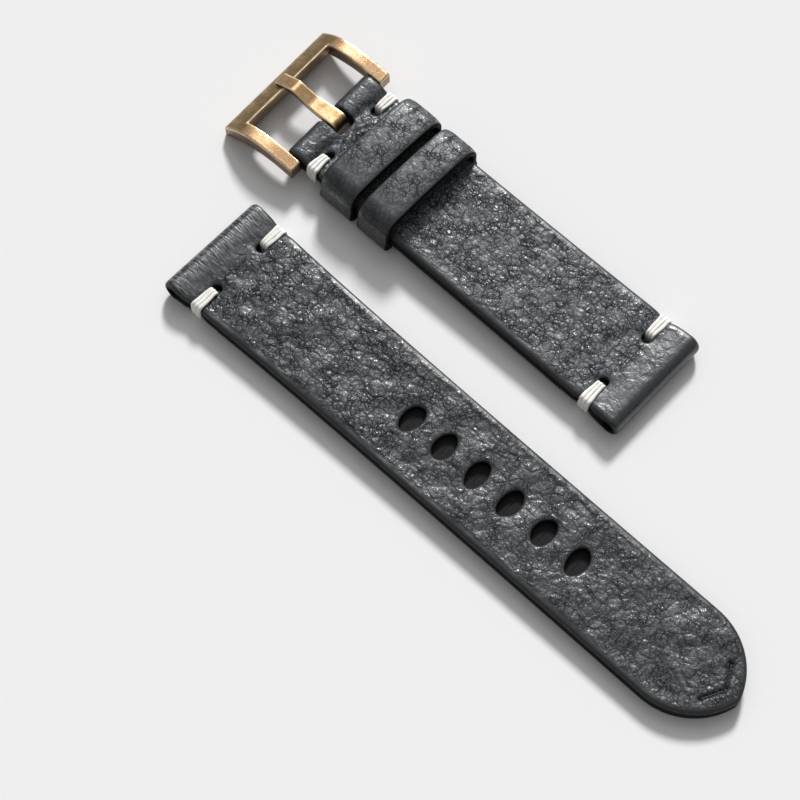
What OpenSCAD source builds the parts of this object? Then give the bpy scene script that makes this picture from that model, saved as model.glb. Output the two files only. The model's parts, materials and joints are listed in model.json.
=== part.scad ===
// Two-piece leather watch strap, lying as a pair: the long piece with its adjusting
// holes, and the short piece with two keepers, a pin buckle and its spring bar.
// Millimetres. +X runs from the long piece's lug end to its tip, +Y from the long piece
// to the short one, +Z up. The origin is under the middle of the pair, on the surface
// that both pieces lie on.

/* [Leather body] */
// Width of both pieces at the watch's lugs
lug_w = 20; // [19:0.5:24]
// Length of the long piece, from its lug bore's axis to its tip
long_len = 107; // [98:1:125]
// Width of the long piece at its tail
long_tail_w = 17.5; // [15:0.25:19]
// Length of the short piece, from its lug bore's axis to the buckle bar's axis
short_len = 67.6; // [60:0.2:80]
// Width of the short piece at the buckle
buckle_end_w = 19.1; // [17:0.1:19.5]
// Length over which most of the taper behind the lugs happens
taper_run = 20; // [10:1:25]
// Thickness of the upper leather
upper_t = 1.45; // [1.2:0.05:1.8]
// Thickness of the lining leather
lining_t = 1.25; // [1:0.05:1.6]
// Thickness of the glue line between upper and lining
glue_t = 0.05; // [0.02:0.01:0.1]

/* [Lug ends] */
// Bore for the watch's own spring bar
lug_bore_d = 2; // [1.6:0.1:2.2]
// Thickness of the skived leather that wraps round the bore
lug_wrap_t = 0.95; // [0.8:0.05:1.2]
// Length over which the wrap thins down to the body
lug_blend = 4.6; // [3:0.1:5]
// Length of the open slit behind the bore, where the fold closes
lug_slit = 3.2; // [2:0.1:3.6]
// Height of that slit where it leaves the bore
lug_slit_h = 0.5; // [0.2:0.05:0.7]
// Length of the flap that is turned under and glued at the lugs
lug_flap = 9.5; // [8:0.5:14]

/* [Tip and adjusting holes] */
// Radius of the two arcs that draw the tail in to the tip
tip_arc_r = 11.5; // [10:0.5:16]
// Radius of the tip's blunt nose
tip_nose_r = 1.8; // [1:0.1:3]
// Number of adjusting holes
hole_count = 6; // [4:1:8]
// Distance from one adjusting hole to the next
hole_pitch = 6.73; // [6:0.01:7]
// Distance from the lug bore's axis to the first adjusting hole
hole_first = 42.4; // [36:0.1:48]
// Length of an adjusting hole, across the strap
hole_across = 5.6; // [4.5:0.1:7]
// Width of an adjusting hole, along the strap
hole_along = 3.2; // [3:0.1:4]
// Thickness of the dark thread at the tip
tip_thread_d = 0.6; // [0.4:0.05:0.8]
// Distance from the tip to the corner of its stitch
tip_stitch_in = 2.6; // [2.2:0.1:4]
// Length of each leg of that stitch, along the strap
tip_stitch_run = 1.7; // [1:0.1:3]
// Half the span of that stitch, across the strap
tip_stitch_span = 3.2; // [2:0.1:3.6]
// Depth to which that thread is pulled into the leather
tip_stitch_sink = 0.4; // [0.2:0.05:0.6]

/* [Side stitches] */
// Thickness of the waxed thread
thread_d = 0.38; // [0.3:0.02:0.4]
// Free space between two turns of it
thread_gap = 0.42; // [0.42:0.01:0.5]
// Number of turns in each stitch
thread_turns = 3; // [2:1:3]
// Free space between the thread and the leather
thread_clear = 0.06; // [0.04:0.01:0.1]
// Width of the punched hole that the turns go through
stitch_hole_d = 1; // [0.9:0.05:1.4]
// Distance from a lug bore's axis to the stitches there
lug_stitch_back = 5; // [5:0.1:6]
// Distance from the strap's edge to the stitch hole at the lugs
lug_stitch_in = 4.8; // [3:0.1:6]
// Distance from the buckle bar's axis to the stitches there
bar_stitch_back = 4.2; // [4.2:0.1:5]
// Distance from the strap's edge to the stitch hole at the buckle
bar_stitch_in = 4; // [3:0.1:5]

/* [Buckle end of the leather] */
// Thickness of the leather tubes round the buckle's bar
bar_wrap_t = 1.05; // [0.8:0.05:1.2]
// Free space between the bar and the leather tubes
bar_bore_clear = 0.1; // [0.05:0.01:0.2]
// Length over which those tubes thin down to the body
bar_blend = 3.4; // [2:0.1:3.6]
// Length of the flap that is turned under and glued at the buckle
bar_flap = 6.6; // [6:0.1:7]
// Free space on each side of the tongue in its slot
slot_side_gap = 0.45; // [0.3:0.05:0.7]
// Distance from the bar's axis to the back of the slot
slot_back = 3; // [2.6:0.1:3.2]

/* [Keepers] */
// Thickness of the keepers' leather
keeper_t = 1.1; // [0.8:0.05:1.4]
// Free space on each side of the strap inside a keeper
keeper_side_gap = 0.28; // [0.25:0.01:0.5]
// Free height left when the tail lies on the strap inside a keeper
keeper_slack = 0.15; // [0.1:0.05:0.6]
// Radius of a keeper's upper corners, inside
keeper_corner_r = 1.6; // [0.8:0.1:2.2]
// Radius of a keeper's lower corners, inside
keeper_base_r = 0.2; // [0.1:0.05:0.25]
// Distance from the bar's axis to the fixed keeper
fixed_keeper_back = 7.1; // [7.1:0.1:10]
// Width of the fixed keeper, along the strap
fixed_keeper_w = 7; // [5:0.5:8]
// Distance between the two keepers at rest
keeper_gap = 1.2; // [1.1:0.1:3]
// Width of the floating keeper, along the strap
floating_keeper_w = 6.5; // [4.5:0.5:7]
// Free space under the strap inside the floating keeper
floating_drop = 0.12; // [0.08:0.01:0.2]
// Length of each of the two stitches that close the floating keeper
seam_stitch_len = 2; // [1.5:0.1:2.5]
// Thickness of the thread in those stitches
seam_thread_d = 0.3; // [0.2:0.02:0.34]
// Distance from one of those stitches to the other
seam_spacing = 1.6; // [1.2:0.1:2.4]

/* [Buckle frame] */
// Free space between the leather and each arm
arm_side_gap = 0.25; // [0.2:0.01:0.4]
// Width of each arm
arm_w = 2.35; // [2.2:0.05:3]
// Distance from the bar's axis to the front edge of the frame
frame_reach = 13.05; // [12:0.05:16]
// Width of the front bar, along the strap
front_bar_w = 3.1; // [2.4:0.1:3.6]
// Length of the arms behind the bar's axis
frame_tail = 1.45; // [1.2:0.05:1.8]
// Height of the arch's top above the bar's axis
arch_top_h = 2.4; // [2.2:0.05:3]
// Thickness of the arch at its top
arch_t = 2.75; // [2.4:0.05:2.9]
// Radius of the arch's upper side
arch_top_r = 16.2; // [15:0.1:20]
// Radius of the arch's lower side
arch_bot_r = 19.1; // [17:0.1:24]
// Distance from the bar's axis to the top of the arch
arch_mid = 4.5; // [3.5:0.1:6]
// Radius of the frame's front corners, seen from above
frame_corner_r = 0.7; // [0.3:0.1:2]
// Turn of the buckle on its leather, seen from above, as it lies
buckle_yaw = 2.8; // [0:0.1:3]

/* [Tongue] */
// Width of the tongue
tongue_w = 2.9; // [2.2:0.1:3.2]
// Thickness of the tongue
tongue_t = 1; // [0.8:0.05:1.1]
// Thickness of the metal that wraps round the bar
tongue_wrap_t = 0.8; // [0.6:0.05:0.9]
// Running clearance of the tongue on the bar
tongue_bore_clear = 0.06; // [0.03:0.01:0.09]
// Distance from the bar's axis to the first bend
tongue_bend = 4.4; // [3.5:0.1:5]
// Distance from the frame's front edge back to the tongue's tip
tongue_setback = 1.5; // [1:0.1:2]
// Free space between the tongue and the front bar at rest
tongue_rest_gap = 0.08; // [0.05:0.01:0.12]

/* [Spring bar] */
// Diameter of the bar's tube
bar_d = 1.5; // [1.3:0.05:1.6]
// Wall of the tube
tube_wall = 0.18; // [0.14:0.01:0.2]
// Free space between each end of the tube and its arm
tube_end_gap = 0.15; // [0.1:0.01:0.2]
// Diameter of the pins' thin ends
pin_d = 0.8; // [0.6:0.02:0.8]
// Running clearance of the pins, in the tube and in the arms
pin_clear = 0.05; // [0.03:0.01:0.08]
// Length of a pin inside its arm
pin_engage = 1; // [0.7:0.05:1.2]
// Length of a pin's head inside the tube
pin_head_len = 1.2; // [1:0.1:2]
// Length of the crimped lip at each end of the tube
lip_len = 0.6; // [0.4:0.05:0.8]
// Thickness of the spring's coil wall
spring_wall = 0.2; // [0.12:0.02:0.25]

/* [How the pair lies] */
// Distance between the two pieces' middle lines
pair_spacing = 29.7; // [28:0.1:50]
// Distance along the strap between the two lug bores
pair_shift = 64.7; // [20:0.1:80]

/* [Hidden] */

round_fn = 96;
spare = 1;
edge_steps = 14;
arc_steps = 12;

// Leather body
body_t = upper_t + glue_t + lining_t;
half_t = body_t / 2;
lug_bore_r = lug_bore_d / 2;
lug_ring_r = lug_bore_r + lug_wrap_t;
lining_top = lining_t - half_t;
flap_joint = 0.1;

// Spring bar, tongue and frame
bar_r = bar_d / 2;
bar_bore_r = bar_r + bar_bore_clear;
bar_ring_r = bar_bore_r + bar_wrap_t;
frame_inner_w = buckle_end_w + 2 * arm_side_gap;
frame_outer_w = frame_inner_w + 2 * arm_w;
tube_len = frame_inner_w - 2 * tube_end_gap;
tube_bore_r = bar_r - tube_wall;
pin_r = pin_d / 2;
pin_head_r = tube_bore_r - pin_clear;
pin_tip_y = frame_inner_w / 2 + pin_engage;
pin_head_y = tube_len / 2 - lip_len - pin_clear;
tongue_bore_r = bar_r + tongue_bore_clear;
tongue_ring_r = tongue_bore_r + tongue_wrap_t;
slot_w = tongue_w + 2 * slot_side_gap;
arch_top_z = arch_top_h - arch_top_r;
arch_bot_z = arch_top_h - arch_t - arch_bot_r;

// Height of the frame's upper and lower side at a distance from the bar's axis
function frame_top(u) = arch_top_z + sqrt(arch_top_r^2 - (u - arch_mid)^2);
function frame_bottom(u) = arch_bot_z + sqrt(arch_bot_r^2 - (u - arch_mid)^2);

// Keepers
keeper_in_w = buckle_end_w + 2 * keeper_side_gap;
keeper_in_h = 2 * body_t + keeper_slack;
fixed_keeper_x = short_len - fixed_keeper_back - fixed_keeper_w;
floating_keeper_x = fixed_keeper_x - keeper_gap - floating_keeper_w;
floating_keeper_base = -half_t - floating_drop - keeper_t;

// How each piece lies: the long one on its lug end and tip, the short one on its lug
// end, its floating keeper and the front bar of its buckle
lug_z = lug_ring_r;
long_pitch = asin((lug_z - half_t) / long_len);
short_pitch = asin((-floating_keeper_base - lug_z) / floating_keeper_x);
bar_z = lug_z + short_len * sin(short_pitch);
front_corner_r = norm([frame_reach, frame_bottom(frame_reach)]);
frame_droop = asin(bar_z / front_corner_r) + atan2(frame_bottom(frame_reach), frame_reach);

// Middle of the pair, seen from above
tip_x = long_len * cos(long_pitch) + half_t * -sin(long_pitch);
bar_x = pair_shift - short_len * cos(short_pitch);
front_x = bar_x - frame_reach * cos(frame_droop) * cos(buckle_yaw)
    - (frame_outer_w / 2 - frame_corner_r) * sin(buckle_yaw);
far_y = pair_spacing + frame_outer_w / 2 * cos(buckle_yaw) + frame_tail * sin(buckle_yaw);
mid_x = (tip_x + front_x) / 2;
mid_y = (far_y - lug_w / 2) / 2;

// Half the strap's width at a distance from the lug bore's axis
function half_width(x, end_w) = (end_w + (lug_w - end_w) * exp(-max(x, 0) / taper_run)) / 2;

// Half the strap's thickness behind a lug bore
function lug_half(x) = half_t + (lug_ring_r - half_t) * max(0, 1 - x / lug_blend);

// The long piece's tail: two arcs tangent to the sides, and a nose tangent to both
tail_half = long_tail_w / 2;
tip_lead = sqrt((tip_arc_r - tip_nose_r)^2 - (tip_arc_r - tail_half)^2);
tip_start = long_len - tip_nose_r - tip_lead;
nose_x = long_len - tip_nose_r;
nose_join_a = acos(tip_lead / (tip_arc_r - tip_nose_r));

// Thread of the side stitches
thread_r = thread_d / 2;
thread_pitch = thread_d + thread_gap;
thread_off = thread_r + thread_clear;
thread_sides = 6;
corner_turns = [0, 30, 60, 90];
run_parts = [0.25, 0.5, 0.75];

// Lays the long piece on the surface
module lay_long() {
    translate([-mid_x, -mid_y, lug_z]) rotate([0, long_pitch, 0]) children();
}

// Lays the short piece beside it, with its buckle towards the long piece's lug end
module lay_short() {
    translate([pair_shift - mid_x, pair_spacing - mid_y, lug_z])
        rotate([0, 0, 180]) rotate([0, -short_pitch, 0]) children();
}

// The spring bar's axis is Y here, and +X points at the buckle's front
module at_bar() {
    translate([short_len, 0, 0]) rotate([0, 0, buckle_yaw]) children();
}

// The buckle's own frame, as it leans on the surface
module at_buckle() {
    at_bar() rotate([0, frame_droop + short_pitch, 0]) children();
}

// Extrudes an outline drawn in X and Z, centred across the strap
module across(w) {
    rotate([90, 0, 0]) linear_extrude(height = w, center = true) children();
}

// A round bar across the strap
module cross_bar(r, w) {
    rotate([90, 0, 0]) cylinder(r = r, h = w, center = true, $fn = round_fn);
}

// A slot with round ends through the strap
module slot_hole(length, width) {
    cube([length - width, width, 4 * body_t], center = true);
    for (side = [-1, 1])
        translate([side * (length - width) / 2, 0, 0])
            cylinder(d = width, h = 4 * body_t, center = true, $fn = round_fn);
}

// One side of a strap's plan, from its lug end to a given length
function side_points(length, end_w) = [
    for (i = [0:edge_steps])
        let (x = -lug_ring_r + (length + lug_ring_r) * i / edge_steps)
        [x, half_width(x, end_w)]
];

// One side of the long piece's tip, from its side to the end of its nose
function tip_side_points() = concat(
    [for (i = [1:arc_steps])
        let (a = 90 - (90 - nose_join_a) * i / arc_steps)
        [tip_start + tip_arc_r * cos(a), tail_half - tip_arc_r + tip_arc_r * sin(a)]],
    [for (i = [1:arc_steps])
        let (a = nose_join_a * (1 - i / arc_steps))
        [nose_x + tip_nose_r * cos(a), tip_nose_r * sin(a)]]
);

// A plan that is the same on both sides of the middle line
module mirrored_plan(side) {
    other = [for (i = [len(side) - 1:-1:0]) if (side[i].y > 0.001) [side[i].x, -side[i].y]];
    linear_extrude(height = 4 * body_t, center = true) polygon(concat(side, other));
}

module short_plan() {
    mirrored_plan(side_points(short_len, buckle_end_w));
}

module long_plan() {
    mirrored_plan(concat(side_points(tip_start, long_tail_w), tip_side_points()));
}

// Side view of the upper leather behind the lug bore: the wrap that thins down to the
// body, the flap that is turned under, and the top layer
function lug_profile(length) = [
    [0, -lug_ring_r], [0, lug_ring_r], [lug_blend, half_t], [length, half_t],
    [length, half_t - upper_t], [lug_flap, half_t - upper_t], [lug_flap, -half_t],
    [lug_blend, -half_t]
];

// The bore for the watch's bar, with the slit that closes behind it
module lug_bore() {
    cross_bar(lug_bore_r, lug_w + 2 * spare);
    across(lug_w + 2 * spare) polygon([
        [0, lug_slit_h / 2], [lug_slit, glue_t / 2], [lug_slit, -glue_t / 2],
        [0, -lug_slit_h / 2]
    ]);
}

// Side view of the lining, between two places along the strap
module lining_profile(from, to) {
    translate([from, -half_t]) square([to - from, lining_t]);
}

module stitch_holes(x, edge, inset) {
    for (side = [-1, 1])
        translate([x, side * (edge - inset), 0])
            slot_hole((thread_turns - 1) * thread_pitch + stitch_hole_d, stitch_hole_d);
}

module lug_stitch_holes(end_w) {
    stitch_holes(lug_stitch_back, half_width(lug_stitch_back, end_w), lug_stitch_in);
}

module adjusting_holes() {
    for (i = [0:hole_count - 1])
        translate([hole_first + i * hole_pitch, 0, 0])
            rotate([0, 0, 90]) slot_hole(hole_across, hole_along);
}

// The tip stitch: a run of thread on each side of the corner of its V. The inner ends of
// both runs share one slot.
tip_thread_r = tip_thread_d / 2;
tip_thread_z = half_t - tip_stitch_sink;
tip_hole_r = tip_thread_r + thread_clear;
tip_groove_w = tip_thread_d + thread_clear;
tip_leg = [-tip_stitch_run, tip_stitch_span];
tip_leg_dir = tip_leg / norm(tip_leg);
tip_run_len = norm(tip_leg);
tip_run_from = [long_len - tip_stitch_in, tip_hole_r];
tip_run_to = tip_run_from + tip_run_len * tip_leg_dir;

// Slot, outer holes and grooves that take the tip stitch
module tip_stitch_space() {
    groove_h = tip_stitch_sink + tip_groove_w / 2 + spare;
    translate([tip_run_from.x, 0, 0]) rotate([0, 0, 90]) slot_hole(4 * tip_hole_r, 2 * tip_hole_r);
    for (side = [-1, 1]) {
        translate([tip_run_to.x, side * tip_run_to.y, 0])
            cylinder(r = tip_hole_r, h = 4 * body_t, center = true, $fn = round_fn);
        for (face = [-1, 1])
            translate([tip_run_from.x, side * tip_run_from.y, 0])
                rotate([0, 0, side * atan2(tip_leg_dir.y, tip_leg_dir.x)])
                    translate([
                        0, -tip_groove_w / 2,
                        face * (half_t + spare - groove_h / 2) - groove_h / 2
                    ])
                        cube([tip_run_len, tip_groove_w, groove_h]);
    }
}

module long_upper() {
    color([0.13, 0.14, 0.15]) lay_long() difference() {
        intersection() {
            union() {
                across(lug_w + spare) polygon(lug_profile(long_len));
                cross_bar(lug_ring_r, lug_w + spare);
            }
            long_plan();
        }
        lug_bore();
        lug_stitch_holes(long_tail_w);
        adjusting_holes();
        tip_stitch_space();
    }
}

module long_lining() {
    color([0.10, 0.10, 0.11]) lay_long() difference() {
        intersection() {
            across(lug_w + spare) lining_profile(lug_flap + flap_joint, long_len);
            long_plan();
        }
        adjusting_holes();
        tip_stitch_space();
    }
}

// Slot for the tongue, open towards the buckle
module tongue_slot() {
    translate([short_len - slot_back, -slot_w / 2, -2 * body_t])
        cube([slot_back + bar_ring_r + spare, slot_w, 4 * body_t]);
}

// Side view of the upper leather in front of the buckle's bar
bar_profile = [
    [short_len, bar_ring_r], [short_len, -bar_ring_r], [short_len - bar_blend, -half_t],
    [short_len - bar_flap, -half_t], [short_len - bar_flap, half_t],
    [short_len - bar_blend, half_t]
];

module short_upper() {
    color([0.13, 0.14, 0.15]) lay_short() difference() {
        union() {
            intersection() {
                union() {
                    across(lug_w + spare) polygon(lug_profile(short_len));
                    across(lug_w + spare) polygon(bar_profile);
                    cross_bar(lug_ring_r, lug_w + spare);
                }
                short_plan();
            }
            at_bar() cross_bar(bar_ring_r, buckle_end_w);
        }
        lug_bore();
        at_bar() cross_bar(bar_bore_r, frame_outer_w);
        tongue_slot();
        lug_stitch_holes(buckle_end_w);
        stitch_holes(short_len - bar_stitch_back, buckle_end_w / 2, bar_stitch_in);
    }
}

module short_lining() {
    color([0.10, 0.10, 0.11]) lay_short() intersection() {
        across(lug_w + spare)
            lining_profile(lug_flap + flap_joint, short_len - bar_flap - flap_joint);
        short_plan();
    }
}

// One turn of thread at a place along the strap, round the leather between the stitch
// hole's rim and the strap's edge: out of the hole, over the top, down the edge and back
// underneath to the next turn's place. Four rings bend round each corner.
function stitch_turn(x, next_x, rim, edge, top) = concat(
    [for (a = corner_turns)
        [x, rim - thread_off * cos(a), top + thread_off * sin(a)]],
    [for (s = run_parts) [x, rim + (edge - rim) * s, top + thread_off]],
    [for (a = corner_turns)
        [x, edge + thread_off * sin(a), top + thread_off * cos(a)]],
    [[x, edge + thread_off, 0]],
    [for (a = corner_turns)
        [x, edge + thread_off * cos(a), -top - thread_off * sin(a)]],
    [for (s = run_parts)
        [x + (next_x - x) * s, edge + (rim - edge) * s, -top - thread_off]]
);

// The thread's way up through the hole to the start of a turn
function stitch_rise(x, rim, top) = concat(
    [for (a = corner_turns)
        [x, rim - thread_off * sin(a), -top - thread_off * cos(a)]],
    [[x, rim - thread_off, 0]]
);

// The whole thread of a side stitch: its first turn starts inside the hole, and its last
// one ends underneath, just short of the hole
function stitch_path(x, rim, edge, tops) = concat(
    [[x - (thread_turns - 1) / 2 * thread_pitch, rim - thread_off, -half_t / 2]],
    [for (k = [0:thread_turns - 1])
        let (here = x + (k - (thread_turns - 1) / 2) * thread_pitch)
        each concat(
            k > 0 ? stitch_rise(here, rim, tops[k]) : [],
            stitch_turn(here, here + thread_pitch, rim, edge, tops[k])
        )]
);

function unit(v) = v / norm(v);

// Rings of points round a path that never runs along the strap
function thread_rings(path, r) = [
    for (i = [0:len(path) - 1])
        let (
            ahead = unit(path[min(i + 1, len(path) - 1)] - path[max(i - 1, 0)]),
            side = unit(cross(ahead, [1, 0, 0])),
            up = cross(side, ahead)
        )
        each [for (k = [0:thread_sides - 1])
            path[i] + r * (cos(60 * k) * side + sin(60 * k) * up)]
];

// One unbroken tube of triangles along a path
module thread_tube(path, r) {
    n = thread_sides;
    last = (len(path) - 1) * n;
    polyhedron(
        points = thread_rings(path, r),
        faces = concat(
            [for (i = [0:len(path) - 2], k = [0:n - 1])
                [i * n + k, (i + 1) * n + k, i * n + (k + 1) % n]],
            [for (i = [0:len(path) - 2], k = [0:n - 1])
                [i * n + (k + 1) % n, (i + 1) * n + k, (i + 1) * n + (k + 1) % n]],
            [for (k = [1:n - 2]) [0, k, k + 1]],
            [for (k = [1:n - 2]) [last, last + k + 1, last + k]]
        )
    );
}

// Least free space between one turn of a path and the next, measured on its points
function least_gap(path) = min([
    for (i = [0:len(path) - 1], j = [0:len(path) - 1])
        if (j - i > 8) norm(path[i] - path[j]) - thread_d
]);

function stitch_tops(x, lug) = [
    for (k = [0:thread_turns - 1])
        let (here = x + (k - (thread_turns - 1) / 2) * thread_pitch)
        lug ? lug_half(here - thread_r) : half_t
];

function side_path(x, edge, inset, lug) =
    stitch_path(x, edge - inset + stitch_hole_d / 2, edge, stitch_tops(x, lug));

long_stitch_path = side_path(lug_stitch_back, half_width(lug_stitch_back, long_tail_w),
    lug_stitch_in, true);
short_stitch_path = side_path(lug_stitch_back, half_width(lug_stitch_back, buckle_end_w),
    lug_stitch_in, true);
bar_stitch_path = side_path(short_len - bar_stitch_back,
    half_width(short_len - bar_stitch_back, buckle_end_w), bar_stitch_in, false);

echo(least_gap_between_turns = [
    least_gap(long_stitch_path), least_gap(short_stitch_path), least_gap(bar_stitch_path)
]);

// A run of the tip stitch, once round the leather from the middle of its inner hole
function tip_path(top) = [
    for (p = concat(
        [[0, 0]],
        [for (a = corner_turns) [top * (1 - cos(a)), tip_thread_z - top * (1 - sin(a))]],
        [for (a = corner_turns)
            [tip_run_len - top * (1 - sin(a)), tip_thread_z - top * (1 - cos(a))]],
        [[tip_run_len, 0]],
        [for (a = corner_turns)
            [tip_run_len - top * (1 - cos(a)), -tip_thread_z + top * (1 - sin(a))]],
        [for (a = corner_turns)
            [top * (1 - sin(a)), -tip_thread_z + top * (1 - cos(a))]]
    ))
        [tip_run_from.x + p.x * tip_leg_dir.x, tip_run_from.y + p.x * tip_leg_dir.y, p.y]
];

module tip_stitch(side) {
    color([0.05, 0.05, 0.06]) lay_long() mirror([0, side < 0 ? 1 : 0, 0])
        thread_tube(tip_path(tip_thread_r), tip_thread_r);
}

module tip_stitch_near() { tip_stitch(-1); }
module tip_stitch_far() { tip_stitch(1); }

// A side stitch on one side of the strap
module side_stitch(path, side) {
    color([0.92, 0.91, 0.88]) mirror([0, side < 0 ? 1 : 0, 0]) thread_tube(path, thread_r);
}

module long_lug_stitch_near() { lay_long() side_stitch(long_stitch_path, -1); }
module long_lug_stitch_far() { lay_long() side_stitch(long_stitch_path, 1); }
module short_lug_stitch_near() { lay_short() side_stitch(short_stitch_path, 1); }
module short_lug_stitch_far() { lay_short() side_stitch(short_stitch_path, -1); }
module buckle_stitch_near() { lay_short() side_stitch(bar_stitch_path, 1); }
module buckle_stitch_far() { lay_short() side_stitch(bar_stitch_path, -1); }

// A rectangle with round corners, standing on its lower side
module rounded_box(w, h, base_r, top_r) {
    translate([-w / 2, base_r]) square([w, h - base_r - top_r]);
    translate([base_r - w / 2, 0]) square([w - 2 * base_r, base_r + top_r]);
    translate([top_r - w / 2, h - base_r - top_r]) square([w - 2 * top_r, base_r + top_r]);
    for (side = [-1, 1]) {
        translate([side * (w / 2 - base_r), base_r]) circle(r = base_r, $fn = round_fn);
        translate([side * (w / 2 - top_r), h - top_r]) circle(r = top_r, $fn = round_fn);
    }
}

// A closed band round the strap, from a place along it
module keeper_band(x, w, inner_base) {
    translate([x, 0, inner_base]) rotate([90, 0, 90]) linear_extrude(height = w)
        difference() {
            translate([0, -keeper_t])
                rounded_box(keeper_in_w + 2 * keeper_t, keeper_in_h + 2 * keeper_t,
                    keeper_base_r + keeper_t, keeper_corner_r + keeper_t);
            rounded_box(keeper_in_w, keeper_in_h, keeper_base_r, keeper_corner_r);
        }
}

module fixed_keeper() {
    color([0.12, 0.13, 0.14]) lay_short()
        keeper_band(fixed_keeper_x, fixed_keeper_w, -half_t - glue_t);
}

// One of the two short stitches that close the floating keeper underneath, grown by a
// clearance
module keeper_seam(side, grow) {
    r = seam_thread_d / 2 + grow;
    x = floating_keeper_x + (floating_keeper_w - seam_stitch_len) / 2;
    z = floating_keeper_base + seam_thread_d / 2 + thread_clear;
    translate([x, side * seam_spacing / 2, z]) {
        rotate([0, 90, 0]) cylinder(r = r, h = seam_stitch_len, $fn = round_fn);
        for (end = [0, seam_stitch_len]) translate([end, 0, 0]) {
            sphere(r = r, $fn = round_fn);
            cylinder(r = r, h = keeper_t / 2 + grow, $fn = round_fn);
        }
    }
}

// Groove that lets it lie below the surface
module keeper_seam_groove(side) {
    w = seam_thread_d + 2 * thread_clear;
    translate([
        floating_keeper_x + (floating_keeper_w - seam_stitch_len - w) / 2,
        side * seam_spacing / 2 - w / 2, floating_keeper_base - spare
    ])
        cube([seam_stitch_len + w, w, spare + w / 2 + thread_clear]);
}

module floating_keeper() {
    color([0.12, 0.13, 0.14]) lay_short() difference() {
        keeper_band(floating_keeper_x, floating_keeper_w, -half_t - floating_drop);
        for (side = [-1, 1]) {
            keeper_seam(side, thread_clear);
            keeper_seam_groove(side);
        }
    }
}

module keeper_stitch(side) {
    color([0.05, 0.05, 0.06]) lay_short() keeper_seam(side, 0);
}

module keeper_stitch_near() { keeper_stitch(1); }
module keeper_stitch_far() { keeper_stitch(-1); }

// Side view of the arched frame
module frame_profile() {
    difference() {
        intersection() {
            translate([arch_mid, arch_top_z]) circle(r = arch_top_r, $fn = round_fn);
            translate([-frame_tail, -arch_top_r])
                square([frame_tail + frame_reach, 2 * arch_top_r]);
        }
        translate([arch_mid, arch_bot_z]) circle(r = arch_bot_r, $fn = round_fn);
    }
}

// Plan of the frame: two arms joined by the front bar
module frame_plan() {
    front = frame_reach - frame_corner_r;
    wide = frame_outer_w - 2 * frame_corner_r;
    difference() {
        union() {
            translate([-frame_tail, -frame_outer_w / 2]) square([frame_tail + front, frame_outer_w]);
            translate([front, -wide / 2]) square([frame_corner_r, wide]);
            for (side = [-1, 1])
                translate([front, side * wide / 2]) circle(r = frame_corner_r, $fn = round_fn);
        }
        translate([-frame_tail - spare, -frame_inner_w / 2])
            square([frame_tail + spare + frame_reach - front_bar_w, frame_inner_w]);
    }
}

module buckle_frame() {
    color([0.72, 0.58, 0.36]) lay_short() at_buckle() difference() {
        intersection() {
            across(frame_outer_w + spare) frame_profile();
            linear_extrude(height = 4 * arch_top_r, center = true) frame_plan();
        }
        cross_bar(pin_r + pin_clear, 2 * (pin_tip_y + pin_clear));
    }
}

// Side view of the tongue in front of the bar: flat to its first bend, up to the second,
// and then down along the front bar that its tip rests on
module tongue_profile() {
    bar_edge = frame_reach - front_bar_w;
    tip = frame_reach - tongue_setback;
    second = bar_edge - 1.1 * tongue_t - 1;
    level = tongue_ring_r;
    rest_edge = frame_top(bar_edge) + tongue_rest_gap;
    rest_tip = frame_top(tip) + tongue_rest_gap;
    crown = rest_edge + tongue_t + (rest_edge - rest_tip) / 2;
    polygon([
        [0, level], [tongue_bend, level], [second, crown], [tip, rest_tip + tongue_t],
        [tip, rest_tip], [bar_edge, rest_edge], [second, crown - 1.2 * tongue_t],
        [tongue_bend, level - tongue_t], [0, level - tongue_t]
    ]);
}

module buckle_tongue() {
    color([0.72, 0.58, 0.36]) lay_short() at_buckle() difference() {
        union() {
            across(tongue_w) tongue_profile();
            cross_bar(tongue_ring_r, tongue_w);
        }
        cross_bar(tongue_bore_r, tongue_w + spare);
    }
}

module bar_tube() {
    color([0.75, 0.75, 0.77]) lay_short() at_bar() difference() {
        cross_bar(bar_r, tube_len);
        cross_bar(tube_bore_r, tube_len - 2 * lip_len);
        cross_bar(pin_r + pin_clear, tube_len + spare);
    }
}

// A pin with its head inside the tube and its thin end inside the arm
module bar_pin(side) {
    color([0.75, 0.75, 0.77]) lay_short() at_bar() scale([1, side, 1]) rotate([-90, 0, 0]) {
        translate([0, 0, pin_head_y - pin_head_len])
            cylinder(r = pin_head_r, h = pin_head_len, $fn = round_fn);
        translate([0, 0, pin_head_y - spare / 2])
            cylinder(r = pin_r, h = pin_tip_y - pin_head_y + spare / 2, $fn = round_fn);
    }
}

module bar_pin_near() { bar_pin(1); }
module bar_pin_far() { bar_pin(-1); }

// The spring between the two heads, as the sleeve that its turns fill
module bar_spring() {
    spring_len = 2 * (pin_head_y - pin_head_len - pin_clear);
    color([0.6, 0.6, 0.62]) lay_short() at_bar() difference() {
        cross_bar(pin_head_r, spring_len);
        cross_bar(pin_head_r - spring_wall, spring_len + spare);
    }
}

// Places that the mounts and joints take
echo(long_bore = [-mid_x, -mid_y, lug_z]);
echo(short_bore = [pair_shift - mid_x, pair_spacing - mid_y, lug_z]);
echo(bar_axis_at = [bar_x - mid_x, pair_spacing - mid_y, bar_z]);
echo(pitch = [long_pitch, short_pitch], droop = frame_droop, yaw = buckle_yaw);

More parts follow.
